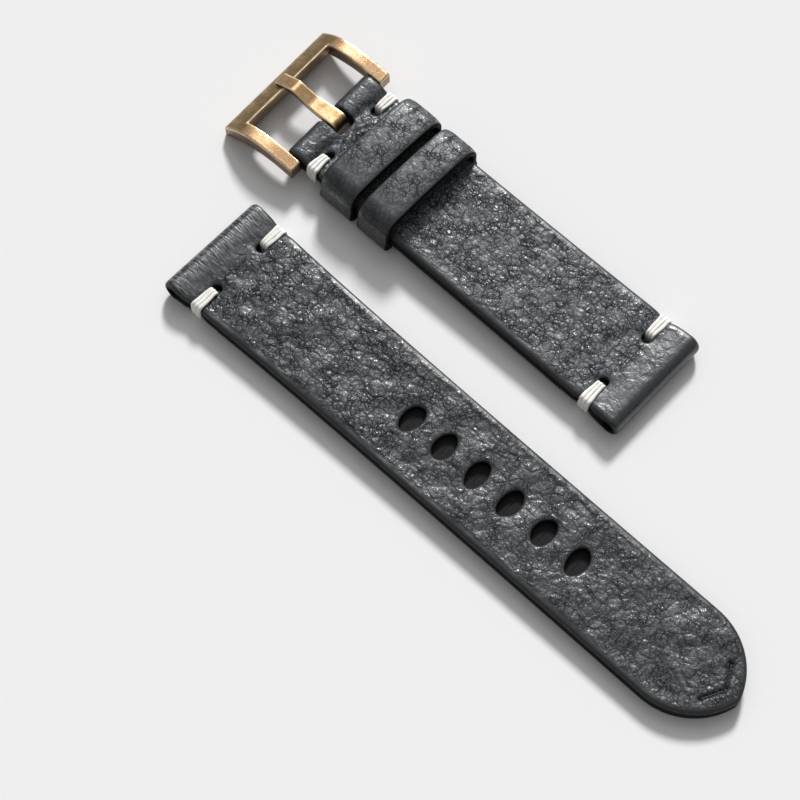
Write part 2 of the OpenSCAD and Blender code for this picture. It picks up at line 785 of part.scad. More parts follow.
short_upper();
short_lining();
short_lug_stitch_near();
short_lug_stitch_far();
buckle_stitch_near();
buckle_stitch_far();
fixed_keeper();
floating_keeper();
keeper_stitch_near();
keeper_stitch_far();
buckle_frame();
buckle_tongue();
bar_tube();
bar_spring();
bar_pin_near();
bar_pin_far();
long_upper();
long_lining();
long_lug_stitch_near();
long_lug_stitch_far();
tip_stitch_near();
tip_stitch_far();
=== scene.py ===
"""Looks of a two-piece leather watch strap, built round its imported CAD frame.

Every builder works in millimetres, in the own frame of the piece that it belongs to: x
runs along the piece from its lug end, y across it and z up, from the middle of the
leather's thickness. A placement then lays the piece on the floor beside the other one.
"""

import json
import logging
import math
from dataclasses import dataclass, field
from enum import Enum
from typing import Callable

import bpy
import numpy as np
from mathutils import Matrix, Vector
from mathutils.geometry import delaunay_2d_cdt
from mathutils.kdtree import KDTree


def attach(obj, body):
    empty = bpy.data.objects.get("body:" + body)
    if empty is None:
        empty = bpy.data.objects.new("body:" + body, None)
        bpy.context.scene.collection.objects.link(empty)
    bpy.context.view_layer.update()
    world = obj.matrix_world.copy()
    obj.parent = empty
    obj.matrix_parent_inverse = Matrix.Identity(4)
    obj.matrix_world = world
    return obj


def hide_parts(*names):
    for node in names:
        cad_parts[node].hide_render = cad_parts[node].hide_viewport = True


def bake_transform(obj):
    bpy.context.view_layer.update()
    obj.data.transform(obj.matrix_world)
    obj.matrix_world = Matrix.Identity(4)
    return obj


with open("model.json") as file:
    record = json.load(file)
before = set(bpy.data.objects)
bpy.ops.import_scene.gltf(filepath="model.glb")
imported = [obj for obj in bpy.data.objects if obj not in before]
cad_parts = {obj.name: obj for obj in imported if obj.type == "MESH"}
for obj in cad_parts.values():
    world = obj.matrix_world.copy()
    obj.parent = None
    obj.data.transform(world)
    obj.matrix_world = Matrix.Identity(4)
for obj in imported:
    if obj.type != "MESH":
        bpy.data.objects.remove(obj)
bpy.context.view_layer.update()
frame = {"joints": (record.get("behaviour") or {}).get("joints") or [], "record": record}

MM = 0.001
FAR_AWAY = 1e9
PAST_END = 9.0
Array = np.ndarray
Colour = tuple[float, float, float]
Socket = bpy.types.NodeSocket
Input = Socket | float | tuple[float, ...]
log = logging.getLogger("strap")


class Side(Enum):
    """The two long edges of a strap piece, seen from the camera."""

    NEAR = -1
    FAR = 1

    @property
    def label(self) -> str:
        """The side as names of pieces and nodes give it."""
        return self.name.lower()


def ease(t: Array) -> Array:
    """Smooth step from 0 to 1 as t goes from 0 to 1."""
    t = np.clip(t, 0.0, 1.0)
    return t * t * (3.0 - 2.0 * t)


def bell(t: Array) -> Array:
    """Bell curve that is 1 at 0 and fades to both sides."""
    return np.exp(-t * t)


def unit(vectors: Array, least: float = 0.0) -> Array:
    """Vectors of length 1 in the same directions, where none is shorter than `least`."""
    return vectors / np.maximum(np.linalg.norm(vectors, axis=1), least)[:, None]


def arc(x: float, y: float, r: float, first: float, last: float, count: int) -> Array:
    """Points of an arc round (x, y) with radius r, from one angle in degrees to another."""
    a = np.radians(np.linspace(first, last, count))
    return np.stack([x + r * np.cos(a), y + r * np.sin(a)], axis=1)


def read_line(where: Array, stations: Array, values: Array) -> Array:
    """Points of a line in the plane at given places between its stations."""
    return np.stack([np.interp(where, stations, values[:, i]) for i in (0, 1)], axis=1)


def refined(loop: Array, step: float, rounding: Callable[[float], int] = int) -> Array:
    """Puts more points along a closed line.

    Args:
        loop: its corners.
        step: largest distance between two points.
        rounding: how a side's number of steps becomes a whole number.

    Returns:
        The corners with the new points between them.
    """
    parts = []
    for a, b in zip(loop, np.roll(loop, -1, axis=0)):
        count = max(1, rounding(np.linalg.norm(b - a) / step))
        parts.append(a + (b - a) * np.arange(count)[:, None] / count)
    return np.concatenate(parts)


def ring_faces(rows: int, columns: int, closed: bool = True) -> list:
    """Quads between rows of points that each form a ring.

    Args:
        rows: number of rows.
        columns: points of a row.
        closed: whether the last row joins the first.

    Returns:
        The quads, as numbers of points counted row by row.
    """
    faces = []
    for i in range(rows if closed else rows - 1):
        j = (i + 1) % rows
        for k in range(columns):
            after = (k + 1) % columns
            faces.append([i * columns + k, j * columns + k, j * columns + after,
                          i * columns + after])
    return faces


def linear(hex_colour: str) -> Colour:
    """Red, green and blue in linear light, from the six digits that a screen shows."""
    parts = [int(hex_colour[i:i + 2], 16) / 255.0 for i in (0, 2, 4)]
    return tuple(c / 12.92 if c < 0.04045 else ((c + 0.055) / 1.055) ** 2.4 for c in parts)


class Noise:
    """Smooth noise in the plane, the same at each run."""

    TABLE = 128

    def __init__(self, seed: int) -> None:
        """Fills the table that the noise is read from."""
        self.table = np.random.RandomState(seed).rand(self.TABLE, self.TABLE) * 2.0 - 1.0

    def at(self, x: Array, y: Array, size: float) -> Array:
        """Noise from -1 to 1 whose lumps are about `size` across.

        Args:
            x: first coordinates.
            y: second coordinates.
            size: spacing of the lumps.

        Returns:
            One value for each point.
        """
        u, v = x / size, y / size
        i, j = np.floor(u).astype(int), np.floor(v).astype(int)
        a, b = ease(u - i), ease(v - j)
        rows, n = self.table, self.TABLE
        low = rows[i % n, j % n] * (1 - a) + rows[(i + 1) % n, j % n] * a
        high = rows[i % n, (j + 1) % n] * (1 - a) + rows[(i + 1) % n, (j + 1) % n] * a
        return low * (1 - b) + high * b

    def rough(self, x: Array, y: Array, size: float) -> Array:
        """Noise with three sizes of lumps, the largest about `size` across."""
        return (self.at(x, y, size) + 0.5 * self.at(y, -x, size / 2.1)
                + 0.25 * self.at(-x, y, size / 4.3)) / 1.4


class Cells:
    """A mosaic of irregular cells, as the grain of leather has."""

    TABLE = 97

    def __init__(self, size: float, seed: int, jitter: float = 0.9) -> None:
        """Chooses the cells' middles.

        Args:
            size: mean width of a cell.
            seed: number that fixes the mosaic.
            jitter: how far a middle strays from a regular grid.
        """
        self.size = size
        self.offsets = np.random.RandomState(seed).rand(self.TABLE, self.TABLE, 2) * jitter
        self.tilts = np.random.RandomState(seed + 1).randn(self.TABLE, self.TABLE, 2) * size
        self.lean = np.zeros(0)

    def walls(self, x: Array, y: Array) -> Array:
        """Distance from each point to the nearest wall between two cells.

        It also stores in `lean` how high each point lies on its cell's tilted plane.

        Args:
            x: first coordinates.
            y: second coordinates.

        Returns:
            The distances, in the coordinates' unit.
        """
        p = np.stack([x, y], axis=1) / self.size
        base = np.floor(p).astype(int)
        best, home = np.full(len(p), FAR_AWAY), np.zeros_like(p)
        middles = []
        for step in ((i, j) for i in range(-2, 3) for j in range(-2, 3)):
            cell = base + step
            middle = cell + self.offsets[tuple((cell % self.TABLE).T)]
            middles.append(middle)
            far = np.sum((middle - p) ** 2, axis=1)
            nearer = far < best
            best[nearer], home[nearer] = far[nearer], middle[nearer]
        tilt = self.tilts[tuple((np.floor(home).astype(int) % self.TABLE).T)]
        self.lean = np.sum((p - home) * tilt, axis=1)
        wall = np.full(len(p), FAR_AWAY)
        for middle in middles:
            across = middle - home
            length = np.sqrt(np.sum(across ** 2, axis=1))
            other = length > 1e-6
            reach = np.sum(((middle + home) / 2 - p) * across, axis=1)
            wall[other] = np.minimum(wall[other], reach[other] / length[other])
        return wall * self.size


@dataclass
class Mesh:
    """A mesh in millimetres, with the values at its points that its material reads."""

    points: Array
    faces: list
    values: dict[str, Array] = field(default_factory=dict)

    def outward(self) -> "Mesh":
        """Turns the faces of a closed mesh so that they look outwards.

        Returns:
            The mesh itself.
        """
        total = 0.0
        for face in self.faces:
            a = self.points[face[0]]
            for i in range(1, len(face) - 1):
                total += np.dot(a, np.cross(self.points[face[i]], self.points[face[i + 1]]))
        if total < 0:
            self.faces = [list(face)[::-1] for face in self.faces]
        return self


def joined(meshes: list[Mesh]) -> Mesh:
    """Puts several meshes into one.

    Args:
        meshes: meshes that hold the same kinds of values.

    Returns:
        One mesh with all their points and faces.
    """
    faces, start = [], 0
    for mesh in meshes:
        faces += [[start + int(i) for i in face] for face in mesh.faces]
        start += len(mesh.points)
    values = {k: np.concatenate([m.values[k] for m in meshes]) for k in meshes[0].values}
    return Mesh(np.concatenate([m.points for m in meshes]), faces, values)


@dataclass(frozen=True)
class Piece:
    """Where a mesh goes and what it stands for."""

    name: str
    body: str
    slot: str
    nodes: tuple[str, ...]


def add_piece(piece: Piece, mesh: Mesh, place: Matrix, material: bpy.types.Material,
              rides: bool = True) -> bpy.types.Object:
    """Makes a mesh a visible piece that moves with its CAD body.

    Args:
        piece: the piece's name, body, material slot and CAD nodes.
        mesh: its mesh, in millimetres.
        place: matrix from the mesh's own frame to the part's frame, in millimetres.
        material: its material.
        rides: whether it moves with its body as a rigid piece.

    Returns:
        The new object.
    """
    turn = np.array(place)
    points = (mesh.points @ turn[:3, :3].T + turn[:3, 3]) * MM
    data = bpy.data.meshes.new(piece.name)
    faces = [list(map(int, face)) for face in mesh.faces]
    data.from_pydata(points.tolist(), [], faces)
    for name, values in mesh.values.items():
        kind = "FLOAT" if values.ndim == 1 else "FLOAT_VECTOR"
        attribute = data.attributes.new(name, kind, "POINT")
        key = "value" if values.ndim == 1 else "vector"
        attribute.data.foreach_set(key, values.astype(np.float32).ravel())
    data.shade_smooth()
    data.materials.append(material)
    new = bpy.data.objects.new(piece.name, data)
    bpy.context.scene.collection.objects.link(new)
    if rides:
        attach(new, piece.body)
    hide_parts(*piece.nodes)
    log.info("%s: %d points, %d faces", piece.name, len(points), len(faces))
    return new


@dataclass(frozen=True)
class Leather:
    """Sizes of the strap's leather, in millimetres."""

    lug_w: float = 20.0
    long_len: float = 107.0
    long_tail_w: float = 17.5
    short_len: float = 67.6
    buckle_end_w: float = 19.1
    taper_run: float = 20.0
    upper_t: float = 1.45
    lining_t: float = 1.25
    glue_t: float = 0.05
    lug_bore_r: float = 1.0
    lug_ring_r: float = 1.95
    lug_blend: float = 5.4
    lug_slit: float = 3.2
    lug_slit_h: float = 0.5
    lug_flap: float = 9.5
    flap_joint: float = 0.1
    bar_bore_r: float = 0.85
    bar_ring_r: float = 1.9
    bar_blend: float = 4.4
    bar_slit: float = 1.5
    bar_slit_h: float = 0.24
    bar_flap: float = 6.6
    lug_stitch_back: float = 5.0
    lug_stitch_in: float = 4.8
    bar_stitch_back: float = 4.2
    bar_stitch_in: float = 4.0

    @property
    def half_t(self) -> float:
        """Half the thickness of both layers."""
        return (self.upper_t + self.lining_t + self.glue_t) / 2

    def half_width(self, x: Array, end_w: float) -> Array:
        """Half the strap's width at a distance from the lug bore."""
        drop = np.exp(-np.maximum(x, 0.0) / self.taper_run)
        return (end_w + (self.lug_w - end_w) * drop) / 2


@dataclass(frozen=True)
class BuckleSizes:
    """Sizes of the buckle and its spring bar, in millimetres."""

    inner_w: float = 19.6
    arm_w: float = 2.35
    reach: float = 13.4
    front_bar_w: float = 3.5
    rest_u: float = 13.05
    tail: float = 1.45
    corner_r: float = 0.35
    arch_mid: float = 4.5
    arch_top_h: float = 2.4
    arch_t: float = 2.75
    arch_bot_r: float = 19.1
    tongue_w: float = 3.0
    tongue_tip_w: float = 2.4
    tongue_t: float = 1.0
    tongue_ring_r: float = 1.61
    tongue_bore_r: float = 0.81
    bar_r: float = 0.75
    tube_len: float = 19.3
    tube_bore_r: float = 0.57
    lip_len: float = 0.6
    pin_r: float = 0.4
    pin_head_r: float = 0.52
    pin_head_y: float = 9.0
    pin_head_len: float = 1.2
    pin_tip_y: float = 10.8
    pin_clear: float = 0.05

    TOP_PLACES = (-1.65, 2.15, 4.85, 8.59, 12.45)
    TOP_HEIGHTS = (1.20, 1.98, 2.36, 2.10, 0.26)

    def bottom(self, u: Array) -> Array:
        """Height of the arch's lower side at a distance from the bar's axis."""
        rise = np.sqrt(self.arch_bot_r ** 2 - (np.minimum(u, self.rest_u) - self.arch_mid) ** 2)
        return self.arch_top_h - self.arch_t - self.arch_bot_r + rise

    def top(self, u: Array) -> Array:
        """Height of the arch's upper side, which rises slowly and falls faster."""
        return np.polyval(np.polyfit(self.TOP_PLACES, self.TOP_HEIGHTS, 4), u)


class Lay:
    """How the two pieces and the buckle lie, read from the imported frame."""

    def __init__(self, leather: Leather, buckle: BuckleSizes) -> None:
        """Works out the matrix of each piece.

        Args:
            leather: sizes of the leather.
            buckle: sizes of the buckle.
        """
        bores = {m["name"]: Vector(m["pos_m"]) / MM for m in frame["record"]["mounts"]}
        swing = next(j for j in frame["joints"] if j["name"] == "frame_swing")
        lug_z, bar_z = bores["short_lug_bore"].z, swing["pos_m"][2] / MM
        pitch = math.asin((leather.lug_ring_r - leather.half_t) / leather.long_len)
        rise = math.asin((bar_z - lug_z) / leather.short_len)
        front = float(buckle.bottom(np.array(buckle.rest_u)))
        droop = math.asin(bar_z / math.hypot(buckle.rest_u, front))
        droop += math.atan2(front, buckle.rest_u)
        self.long = Matrix.Translation(bores["long_lug_bore"]) @ Matrix.Rotation(pitch, 4, "Y")
        self.short = (Matrix.Translation(bores["short_lug_bore"])
                      @ Matrix.Rotation(math.pi, 4, "Z") @ Matrix.Rotation(-rise, 4, "Y"))
        self.yaw = math.asin(-swing["axis"][0])
        self.bar = (self.short @ Matrix.Translation((leather.short_len, 0, 0))
                    @ Matrix.Rotation(self.yaw, 4, "Z"))
        self.buckle = self.bar @ Matrix.Rotation(droop + rise, 4, "Y")


def slot_outline(x: float, y: float, along: float, across: float, steps: int = 9) -> Array:
    """Outline of a hole with round ends.

    Args:
        x: place of its middle along the piece.
        y: place of its middle across the piece.
        along: its size along the piece.
        across: its size across the piece.
        steps: points of each round end.

    Returns:
        The outline's points.
    """
    r, run = min(along, across) / 2, abs(along - across) / 2
    turns = np.radians(np.linspace(-90, 90, steps))
    half = np.stack([run + r * np.cos(turns), r * np.sin(turns)], axis=1)
    loop = np.concatenate([half, -half])
    return (loop if along >= across else loop[:, ::-1]) + (x, y)


@dataclass
class Cut:
    """Triangles of a flat pattern, with each point's distance from its edges."""

    points: Array
    triangles: list
    loops: list[Array]
    from_outline: Array
    from_holes: Array


@dataclass
class Pattern:
    """A flat pattern: its outline and its holes, in millimetres."""

    outline: Array
    holes: list[Array]
    edge_step: float = 0.3

    RINGS = (0.08, 0.24, 0.5, 0.85)
    ROW_H = 0.866
    NO_LOOP = 99.0

    def fine_loops(self) -> list[Array]:
        """Puts points all along the outline and the holes.

        Returns:
            The outline anticlockwise, and then the holes clockwise.
        """
        loops = []
        for k, loop in enumerate([self.outline, *self.holes]):
            after = np.roll(loop, -1, axis=0)
            turn = np.sum(loop[:, 0] * after[:, 1] - after[:, 0] * loop[:, 1])
            if (turn > 0) != (k == 0):
                loop = loop[::-1]
            loops.append(refined(loop, self.edge_step, round))
        return loops

    @staticmethod
    def inside(points: Array, loop: Array) -> Array:
        """Whether each point is inside a loop.

        Args:
            points: the points.
            loop: corners of a closed line.

        Returns:
            True or False for each point.
        """
        result = np.zeros(len(points), bool)
        x, y = points[:, 0], points[:, 1]
        for (ax, ay), (bx, by) in zip(loop, np.roll(loop, -1, axis=0)):
            if ay == by:
                continue
            crosses = (ay > y) != (by > y)
            result ^= crosses & (x < (bx - ax) * (y - ay) / (by - ay) + ax)
        return result

    def contains(self, points: Array) -> Array:
        """Whether each point is in the leather: in the outline and in no hole.

        Args:
            points: the points.

        Returns:
            True or False for each point.
        """
        result = self.inside(points, self.outline)
        for hole in self.holes:
            result &= ~self.inside(points, hole)
        return result

    @staticmethod
    def distance(points: Array, loops: list[Array]) -> Array:
        """Distance of each point from the nearest loop.

        Args:
            points: the points.
            loops: closed lines with points all along them.

        Returns:
            The distances.
        """
        if not loops:
            return np.full(len(points), Pattern.NO_LOOP)
        all_points = np.concatenate(loops)
        after = np.concatenate([np.roll(loop, -1, axis=0) for loop in loops])
        before = np.concatenate([np.roll(loop, 1, axis=0) for loop in loops])
        tree = KDTree(len(all_points))
        for i, p in enumerate(all_points):
            tree.insert((p[0], p[1], 0.0), i)
        tree.balance()
        near = np.array([tree.find((p[0], p[1], 0.0))[1] for p in points])
        best = np.full(len(points), FAR_AWAY)
        for other in (after, before):
            a, d = all_points[near], other[near] - all_points[near]
            t = np.clip(np.sum((points - a) * d, 1) / np.maximum(np.sum(d * d, 1), 1e-12), 0, 1)
            best = np.minimum(best, np.linalg.norm(points - a - d * t[:, None], axis=1))
        return best

    def cut(self, step: float, outline_w: float, hole_w: float) -> Cut:
        """Fills the pattern with triangles, with rings of points along its edges.

        Args:
            step: size of a triangle.
            outline_w: width of the rounding along the outline.
            hole_w: width of the rounding round the holes.

        Returns:
            The triangles, with the loops' points first.
        """
        loops = self.fine_loops()
        rings = []
        for k, loop in enumerate(loops):
            ahead = np.roll(loop, -1, axis=0) - np.roll(loop, 1, axis=0)
            inward = unit(np.stack([-ahead[:, 1], ahead[:, 0]], axis=1))
            width = outline_w if k == 0 else hole_w
            for part in self.RINGS:
                ring = loop + inward * part * width
                near = self.distance(ring, loops)
                rings.append(ring[near > 0.8 * part * width])
        low, high = self.outline.min(0), self.outline.max(0)
        rows = int((high[1] - low[1]) / (step * self.ROW_H)) + 1
        count = int((high[0] - low[0]) / step) + 1
        grid = np.array([(low[0] + (i + 0.5 * (j % 2)) * step, low[1] + j * step * self.ROW_H)
                         for j in range(rows) for i in range(count)])
        grid = grid[self.contains(grid)]
        from_outline = self.distance(grid, loops[:1])
        from_holes = self.distance(grid, loops[1:])
        grid = grid[(from_outline > outline_w + 0.3 * step) & (from_holes > hole_w + 0.3 * step)]
        rings = [ring[self.contains(ring)] for ring in rings]
        points = np.concatenate([*loops, *rings, grid])
        edges, places, start = [], [], 0
        for loop in loops:
            place = np.arange(start, start + len(loop))
            places.append(place)
            edges += list(zip(place.tolist(), np.roll(place, -1).tolist()))
            start += len(loop)
        found = delaunay_2d_cdt([Vector(p) for p in points.tolist()], edges, [], 0, 1e-7)
        flat = np.array([tuple(p) for p in found[0]])
        triangles = np.array(found[2])
        middles = flat[triangles].mean(axis=1)
        on_edge = np.all(triangles < start, axis=1)
        keep = ~on_edge
        keep[on_edge] = self.contains(middles[on_edge])
        triangles = triangles[keep]
        a, b, c = (flat[triangles[:, i]] for i in range(3))
        area = (b[:, 0] - a[:, 0]) * (c[:, 1] - a[:, 1]) - (b[:, 1] - a[:, 1]) * (c[:, 0] - a[:, 0])
        triangles[area < 0] = triangles[area < 0][:, ::-1]
        return Cut(flat, triangles.tolist(), places, self.distance(flat, loops[:1]),
                   self.distance(flat, loops[1:]))


@dataclass
class Run:
    """Side view of a folded layer: its outer and inner line at stations along it."""

    stations: Array
    outer: Array
    inner: Array

    SLOPE_STEP = 0.15

    def at(self, s: Array) -> tuple[Array, Array, Array]:
        """Reads both lines.

        Args:
            s: distances along the layer.

        Returns:
            The outer points, the inner points and the outward directions, in x and z.
        """
        ahead = unit(read_line(s + self.SLOPE_STEP, self.stations, self.outer)
                     - read_line(s - self.SLOPE_STEP, self.stations, self.outer), 1e-9)
        out = np.stack([-ahead[:, 1], ahead[:, 0]], axis=1)
        return (read_line(s, self.stations, self.outer),
                read_line(s, self.stations, self.inner), out)


def flat_run(start: float, end: float, top: float, bottom: float) -> Run:
    """Side view of a layer that lies flat between two heights and goes on past its ends."""
    ends = np.array([start - PAST_END, end + PAST_END])
    return Run(ends, *(np.column_stack([ends, np.full(2, z)]) for z in (top, bottom)))


@dataclass(frozen=True)
class Spots:
    """Places along and across a flat pattern, and how far its outline and its holes are."""

    s: Array
    y: Array
    outline: Array
    hole: Array


Relief = Callable[[Spots], tuple[Array, Array, Array]]
Settle = Callable[[Array, Array], tuple[Array, Array]]


@dataclass
class Layer:
    """A pattern folded along its run, with rounded edges."""

    pattern: Pattern
    run: Run
    grain_step: float = 0.2
    flesh_step: float = 0.8
    outline_round: tuple[float, float] = (0.8, 0.5)
    hole_round: tuple[float, float] = (0.35, 0.3)
    flesh_round: float = 0.16
    wall_rows: int = 3

    WALL_LAY = 1.3
    FLESH_LAY = 1.5
    CUT_W = 0.12
    CUT_TOP = 0.8
    RIM_W = 0.9
    RIM_SHADE = 0.45

    def build(self, relief: Relief | None = None, settle: Settle | None = None) -> Mesh:
        """Makes the closed mesh of the layer.

        Args:
            relief: gives height, crease, and burnished smoothness with painted shade, at places on
                the pattern.
            settle: gives how far each place moves across the piece and inwards.

        Returns:
            The mesh, with the places on the flat pattern and what the relief gives.
        """
        grain = self.pattern.cut(self.grain_step, self.outline_round[0], self.hole_round[0])
        flesh = self.pattern.cut(self.flesh_step, self.flesh_round, self.flesh_round)
        outer, deep = self.face(grain, self.depth(grain), relief, settle)
        inner, _ = self.face(flesh, None, None, settle)
        rim = sum(len(loop) for loop in grain.loops)
        points, values, faces = [outer], [deep], list(grain.triangles)
        previous, start = np.arange(rim), len(outer)
        for part in np.arange(1, self.wall_rows) / self.wall_rows:
            points.append(outer[:rim] * (1 - part) + inner[:rim] * part)
            row = {key: value[:rim] for key, value in deep.items()}
            lay = row["sheet"] + (0.0, 0.0, part * self.WALL_LAY)
            values.append({**row, "sheet": lay, "cut": np.ones(rim)})
            current = np.arange(start, start + rim)
            faces += self.wall(grain.loops, previous, current)
            previous, start = current, start + rim
        faces += self.wall(grain.loops, previous, np.arange(start, start + rim))
        faces += [[start + i for i in face[::-1]] for face in flesh.triangles]
        count = len(flesh.points)
        lay = np.column_stack([flesh.points, np.full(count, self.FLESH_LAY)])
        zeros = {key: np.zeros(count) for key in deep}
        values.append({**zeros, "sheet": lay, "cut": np.ones(count)})
        merged = {key: np.concatenate([part[key] for part in values]) for key in deep}
        return Mesh(np.concatenate([*points, inner]), faces, merged)

    def depth(self, cut: Cut) -> Array:
        """How far the rounded edges take each point of the grain side inwards.

        Args:
            cut: the grain side's triangles.

        Returns:
            The depths.
        """
        (w, h), (hole_w, hole_h) = self.outline_round, self.hole_round
        a = np.clip(1 - cut.from_outline / w, 0, 1)
        b = np.clip(1 - cut.from_holes / hole_w, 0, 1)
        return np.maximum(h * (1 - np.sqrt(1 - a * a)), hole_h * (1 - np.sqrt(1 - b * b)))

    def face(self, cut: Cut, depth: Array | None, relief: Relief | None,
             settle: Settle | None) -> tuple[Array, dict[str, Array]]:
        """Lays one face of the layer along the run.

        Args:
            cut: the face's triangles.
            depth: how far each point of the grain side goes in, or None on the flesh side.
            relief: the grain's relief.
            settle: how the face gives way.

        Returns:
            The points, and the values that the material reads.
        """
        s, y = cut.points[:, 0], cut.points[:, 1].copy()
        outer, inner, out = self.run.at(s)
        thick = np.linalg.norm(inner - outer, axis=1)
        values = {"sheet": np.column_stack([s, y, np.zeros(len(s))])}
        grained = depth is not None
        if not grained:
            depth = thick - np.clip(self.flesh_round - cut.from_outline, 0, None)
        side = outer + (inner - outer) * (depth / thick)[:, None]
        if grained:
            height = crease = burnish = np.zeros(len(s))
            if relief:
                spots = Spots(s, y, cut.from_outline, cut.from_holes)
                height, crease, burnish = relief(spots)
            side = side + out * height[:, None]
            edge = np.minimum(cut.from_outline, cut.from_holes)
            # painted shade: a darker band along the rounded outline, stored with the cut edges so
            # it takes their dark colour and weaker sheen
            rim = self.RIM_SHADE * ease(1 - cut.from_outline / self.RIM_W)
            values.update(crease=crease, burnish=burnish,
                          cut=np.maximum(ease(1 - edge / self.CUT_W) * self.CUT_TOP, rim))
        if settle:
            across, sink = settle(s, y)
            y += across
            side = side - out * (sink * np.clip(1 - depth / thick, 0, 1))[:, None]
        return np.column_stack([side[:, 0], y, side[:, 1]]), values

    @staticmethod
    def wall(loops: list[Array], upper: Array, lower: Array) -> list:
        """Quads between two rows of points along the edges.

        Args:
            loops: places of each loop's points in a row.
            upper: numbers of the upper row's points.
            lower: numbers of the lower row's points.

        Returns:
            The quads.
        """
        faces = []
        for loop in loops:
            after = np.roll(loop, -1)
            faces += np.column_stack([upper[after], upper[loop], lower[loop],
                                      lower[after]]).tolist()
        return faces


@dataclass(frozen=True)
class Fold:
    """The end of a leather layer that turns round a bar and is glued to itself."""

    ring_r: float
    bore_r: float
    blend: float
    slit: float
    slit_h: float
    flap: float
    half_t: float
    upper_t: float
    closed: float = 0.012

    @property
    def turn(self) -> float:
        """Length of the layer's outer side round the ring."""
        return math.pi * self.ring_r

    def height(self, x: Array) -> Array:
        """Half the strap's thickness at a distance from the bar."""
        return self.half_t + (self.ring_r - self.half_t) * ease(1 - x / self.blend)

    def place(self, t: Array) -> Array:
        """Distance from the bar of a place on the unfolded layer."""
        return np.where(t < -self.turn, -self.turn - t, np.maximum(t, 0.0))

    def inner_line(self, t: Array) -> Array:
        """Points of the flesh side.

        Args:
            t: places on the unfolded layer, 0 at the top of the ring.

        Returns:
            The points, in x and z.
        """
        mouth = math.asin(self.slit_h / 2 / self.bore_r)
        start = self.bore_r * math.cos(mouth)
        x = self.place(t)
        over = (t >= start).astype(float)
        part = np.clip((start - t) / (self.turn + 2 * start), 0, 1)
        angle = mouth + part * (2 * math.pi - 2 * mouth)
        ring = np.stack([self.bore_r * np.cos(angle), self.bore_r * np.sin(angle)], axis=1)
        gap = self.closed + (self.slit_h / 2 - self.closed) * np.clip(
            (self.slit - x) / (self.slit - start), 0, 1)
        drop = (self.upper_t - self.half_t + self.closed) * ease((x - self.flap + 0.4) / 0.7)
        z = np.where(over > 0, gap - drop, -gap)
        on_ring = (t < start) & (t > -self.turn - start)
        return np.where(on_ring[:, None], ring, np.stack([x, z], axis=1))

    def lines(self, reach: float) -> tuple[Array, Array, Array]:
        """Stations of the layer with their outer and inner points.

        Args:
            reach: distance from the bar at which the lines end on top.

        Returns:
            The stations, the outer points and the inner points.
        """
        t = np.arange(-self.turn - self.flap, reach, 0.08)
        angle = math.pi / 2 - t / self.ring_r
        ring = self.ring_r * np.stack([np.cos(angle), np.sin(angle)], axis=1)
        x = self.place(t)
        z = np.where(t >= 0, 1.0, -1.0) * self.height(x)
        round_part = (t < 0) & (t > -self.turn)
        outer = np.where(round_part[:, None], ring, np.stack([x, z], axis=1))
        return t, outer, self.inner_line(t)


@dataclass(frozen=True)
class SideStitch:
    """A bunch of thread that binds the strap's edge, and how it pulls the leather in."""

    x: float
    inset: float
    strands: int = 3
    strand_w: float = 0.8
    strand_t: float = 0.54
    hole_w: float = 1.6
    hole_h: float = 1.7
    hole_pitch: float = 0.5
    edge_pitch: float = 0.66
    pinch: float = 0.4
    sink: float = 0.2

    def give(self, x: Array, y: Array, half_w: Array) -> tuple[Array, Array]:
        """How far the leather gives way under the thread.

        Args:
            x: places along the strap.
            y: places across it.
            half_w: half the strap's width there.

        Returns:
            The moves across the strap and inwards.
        """
        near = bell((x - self.x) / 1.35)
        outer = ease((np.abs(y) - half_w + self.inset) / self.inset)
        across = -np.sign(y) * self.pinch * near * outer ** 2
        under = bell((x - self.x) / 1.05) * ease((np.abs(y) - half_w + self.inset) / 0.9)
        hole = bell((x - self.x) / 1.7) * bell((np.abs(y) - half_w + self.inset) / 1.3)
        return across, self.sink * under + 0.22 * hole


@dataclass(frozen=True)
class PebbleGrain:
    """Relief of the natural grain: pebbles between creases, finer ones on top of them."""

    seed: int
    cell: float = 2.0
    fine_cell: float = 1.0
    depth: float = 0.075
    fine_depth: float = 0.01
    crease_w: float = 0.16
    lean: float = 0.035
    dome_w: float = 0.26
    fine_dome_w: float = 0.12
    warp: float = 0.42
    warp_size: float = 1.9
    drift: float = 0.8
    drift_size: float = 7.0
    lump: float = 0.05
    lump_size: float = 3.4

    def relief(self, s: Array, y: Array, strength: Array) -> tuple[Array, Array]:
        """Height and crease strength of the grain.

        Args:
            s: places along the leather.
            y: places across it.
            strength: how strong the grain is at each place.

        Returns:
            The heights in millimetres and the creases from 0 to 1.
        """
        noise = Noise(self.seed)
        u = s + self.warp * noise.rough(s, y, self.warp_size)
        u += self.drift * noise.at(y, s, self.drift_size)
        v = y + self.warp * noise.rough(y + 31, s, self.warp_size)
        v += self.drift * noise.at(s + 50, y, self.drift_size)
        uneven = 0.7 + 0.5 * noise.at(s + 11, y - 7, 3.1)
        cells = Cells(self.cell, self.seed)
        wall = cells.walls(u, v * 1.12)
        fine = Cells(self.fine_cell, self.seed + 5).walls(u * 1.05, v)
        dome = 1 - np.exp(-wall / self.dome_w)
        fine_dome = 1 - np.exp(-fine / self.fine_dome_w)
        height = self.depth * uneven * (dome - 0.7) + self.fine_depth * (fine_dome - 0.5)
        height += self.lean * cells.lean * dome * uneven
        height += self.lump * noise.rough(s, y, self.lump_size)
        crease = bell(wall / self.crease_w) * (0.45 + 0.55 * uneven)
        crease = np.maximum(crease, 0.55 * bell(fine / (0.6 * self.crease_w)))
        return height * strength, 0.3 * crease * strength


def mirrored(side: Array) -> Array:
    """Closes an outline, given the far one of its two like sides."""
    near = side[side[:, 1] > 1e-6] * (1, -1)
    return np.concatenate([near, side[::-1]])


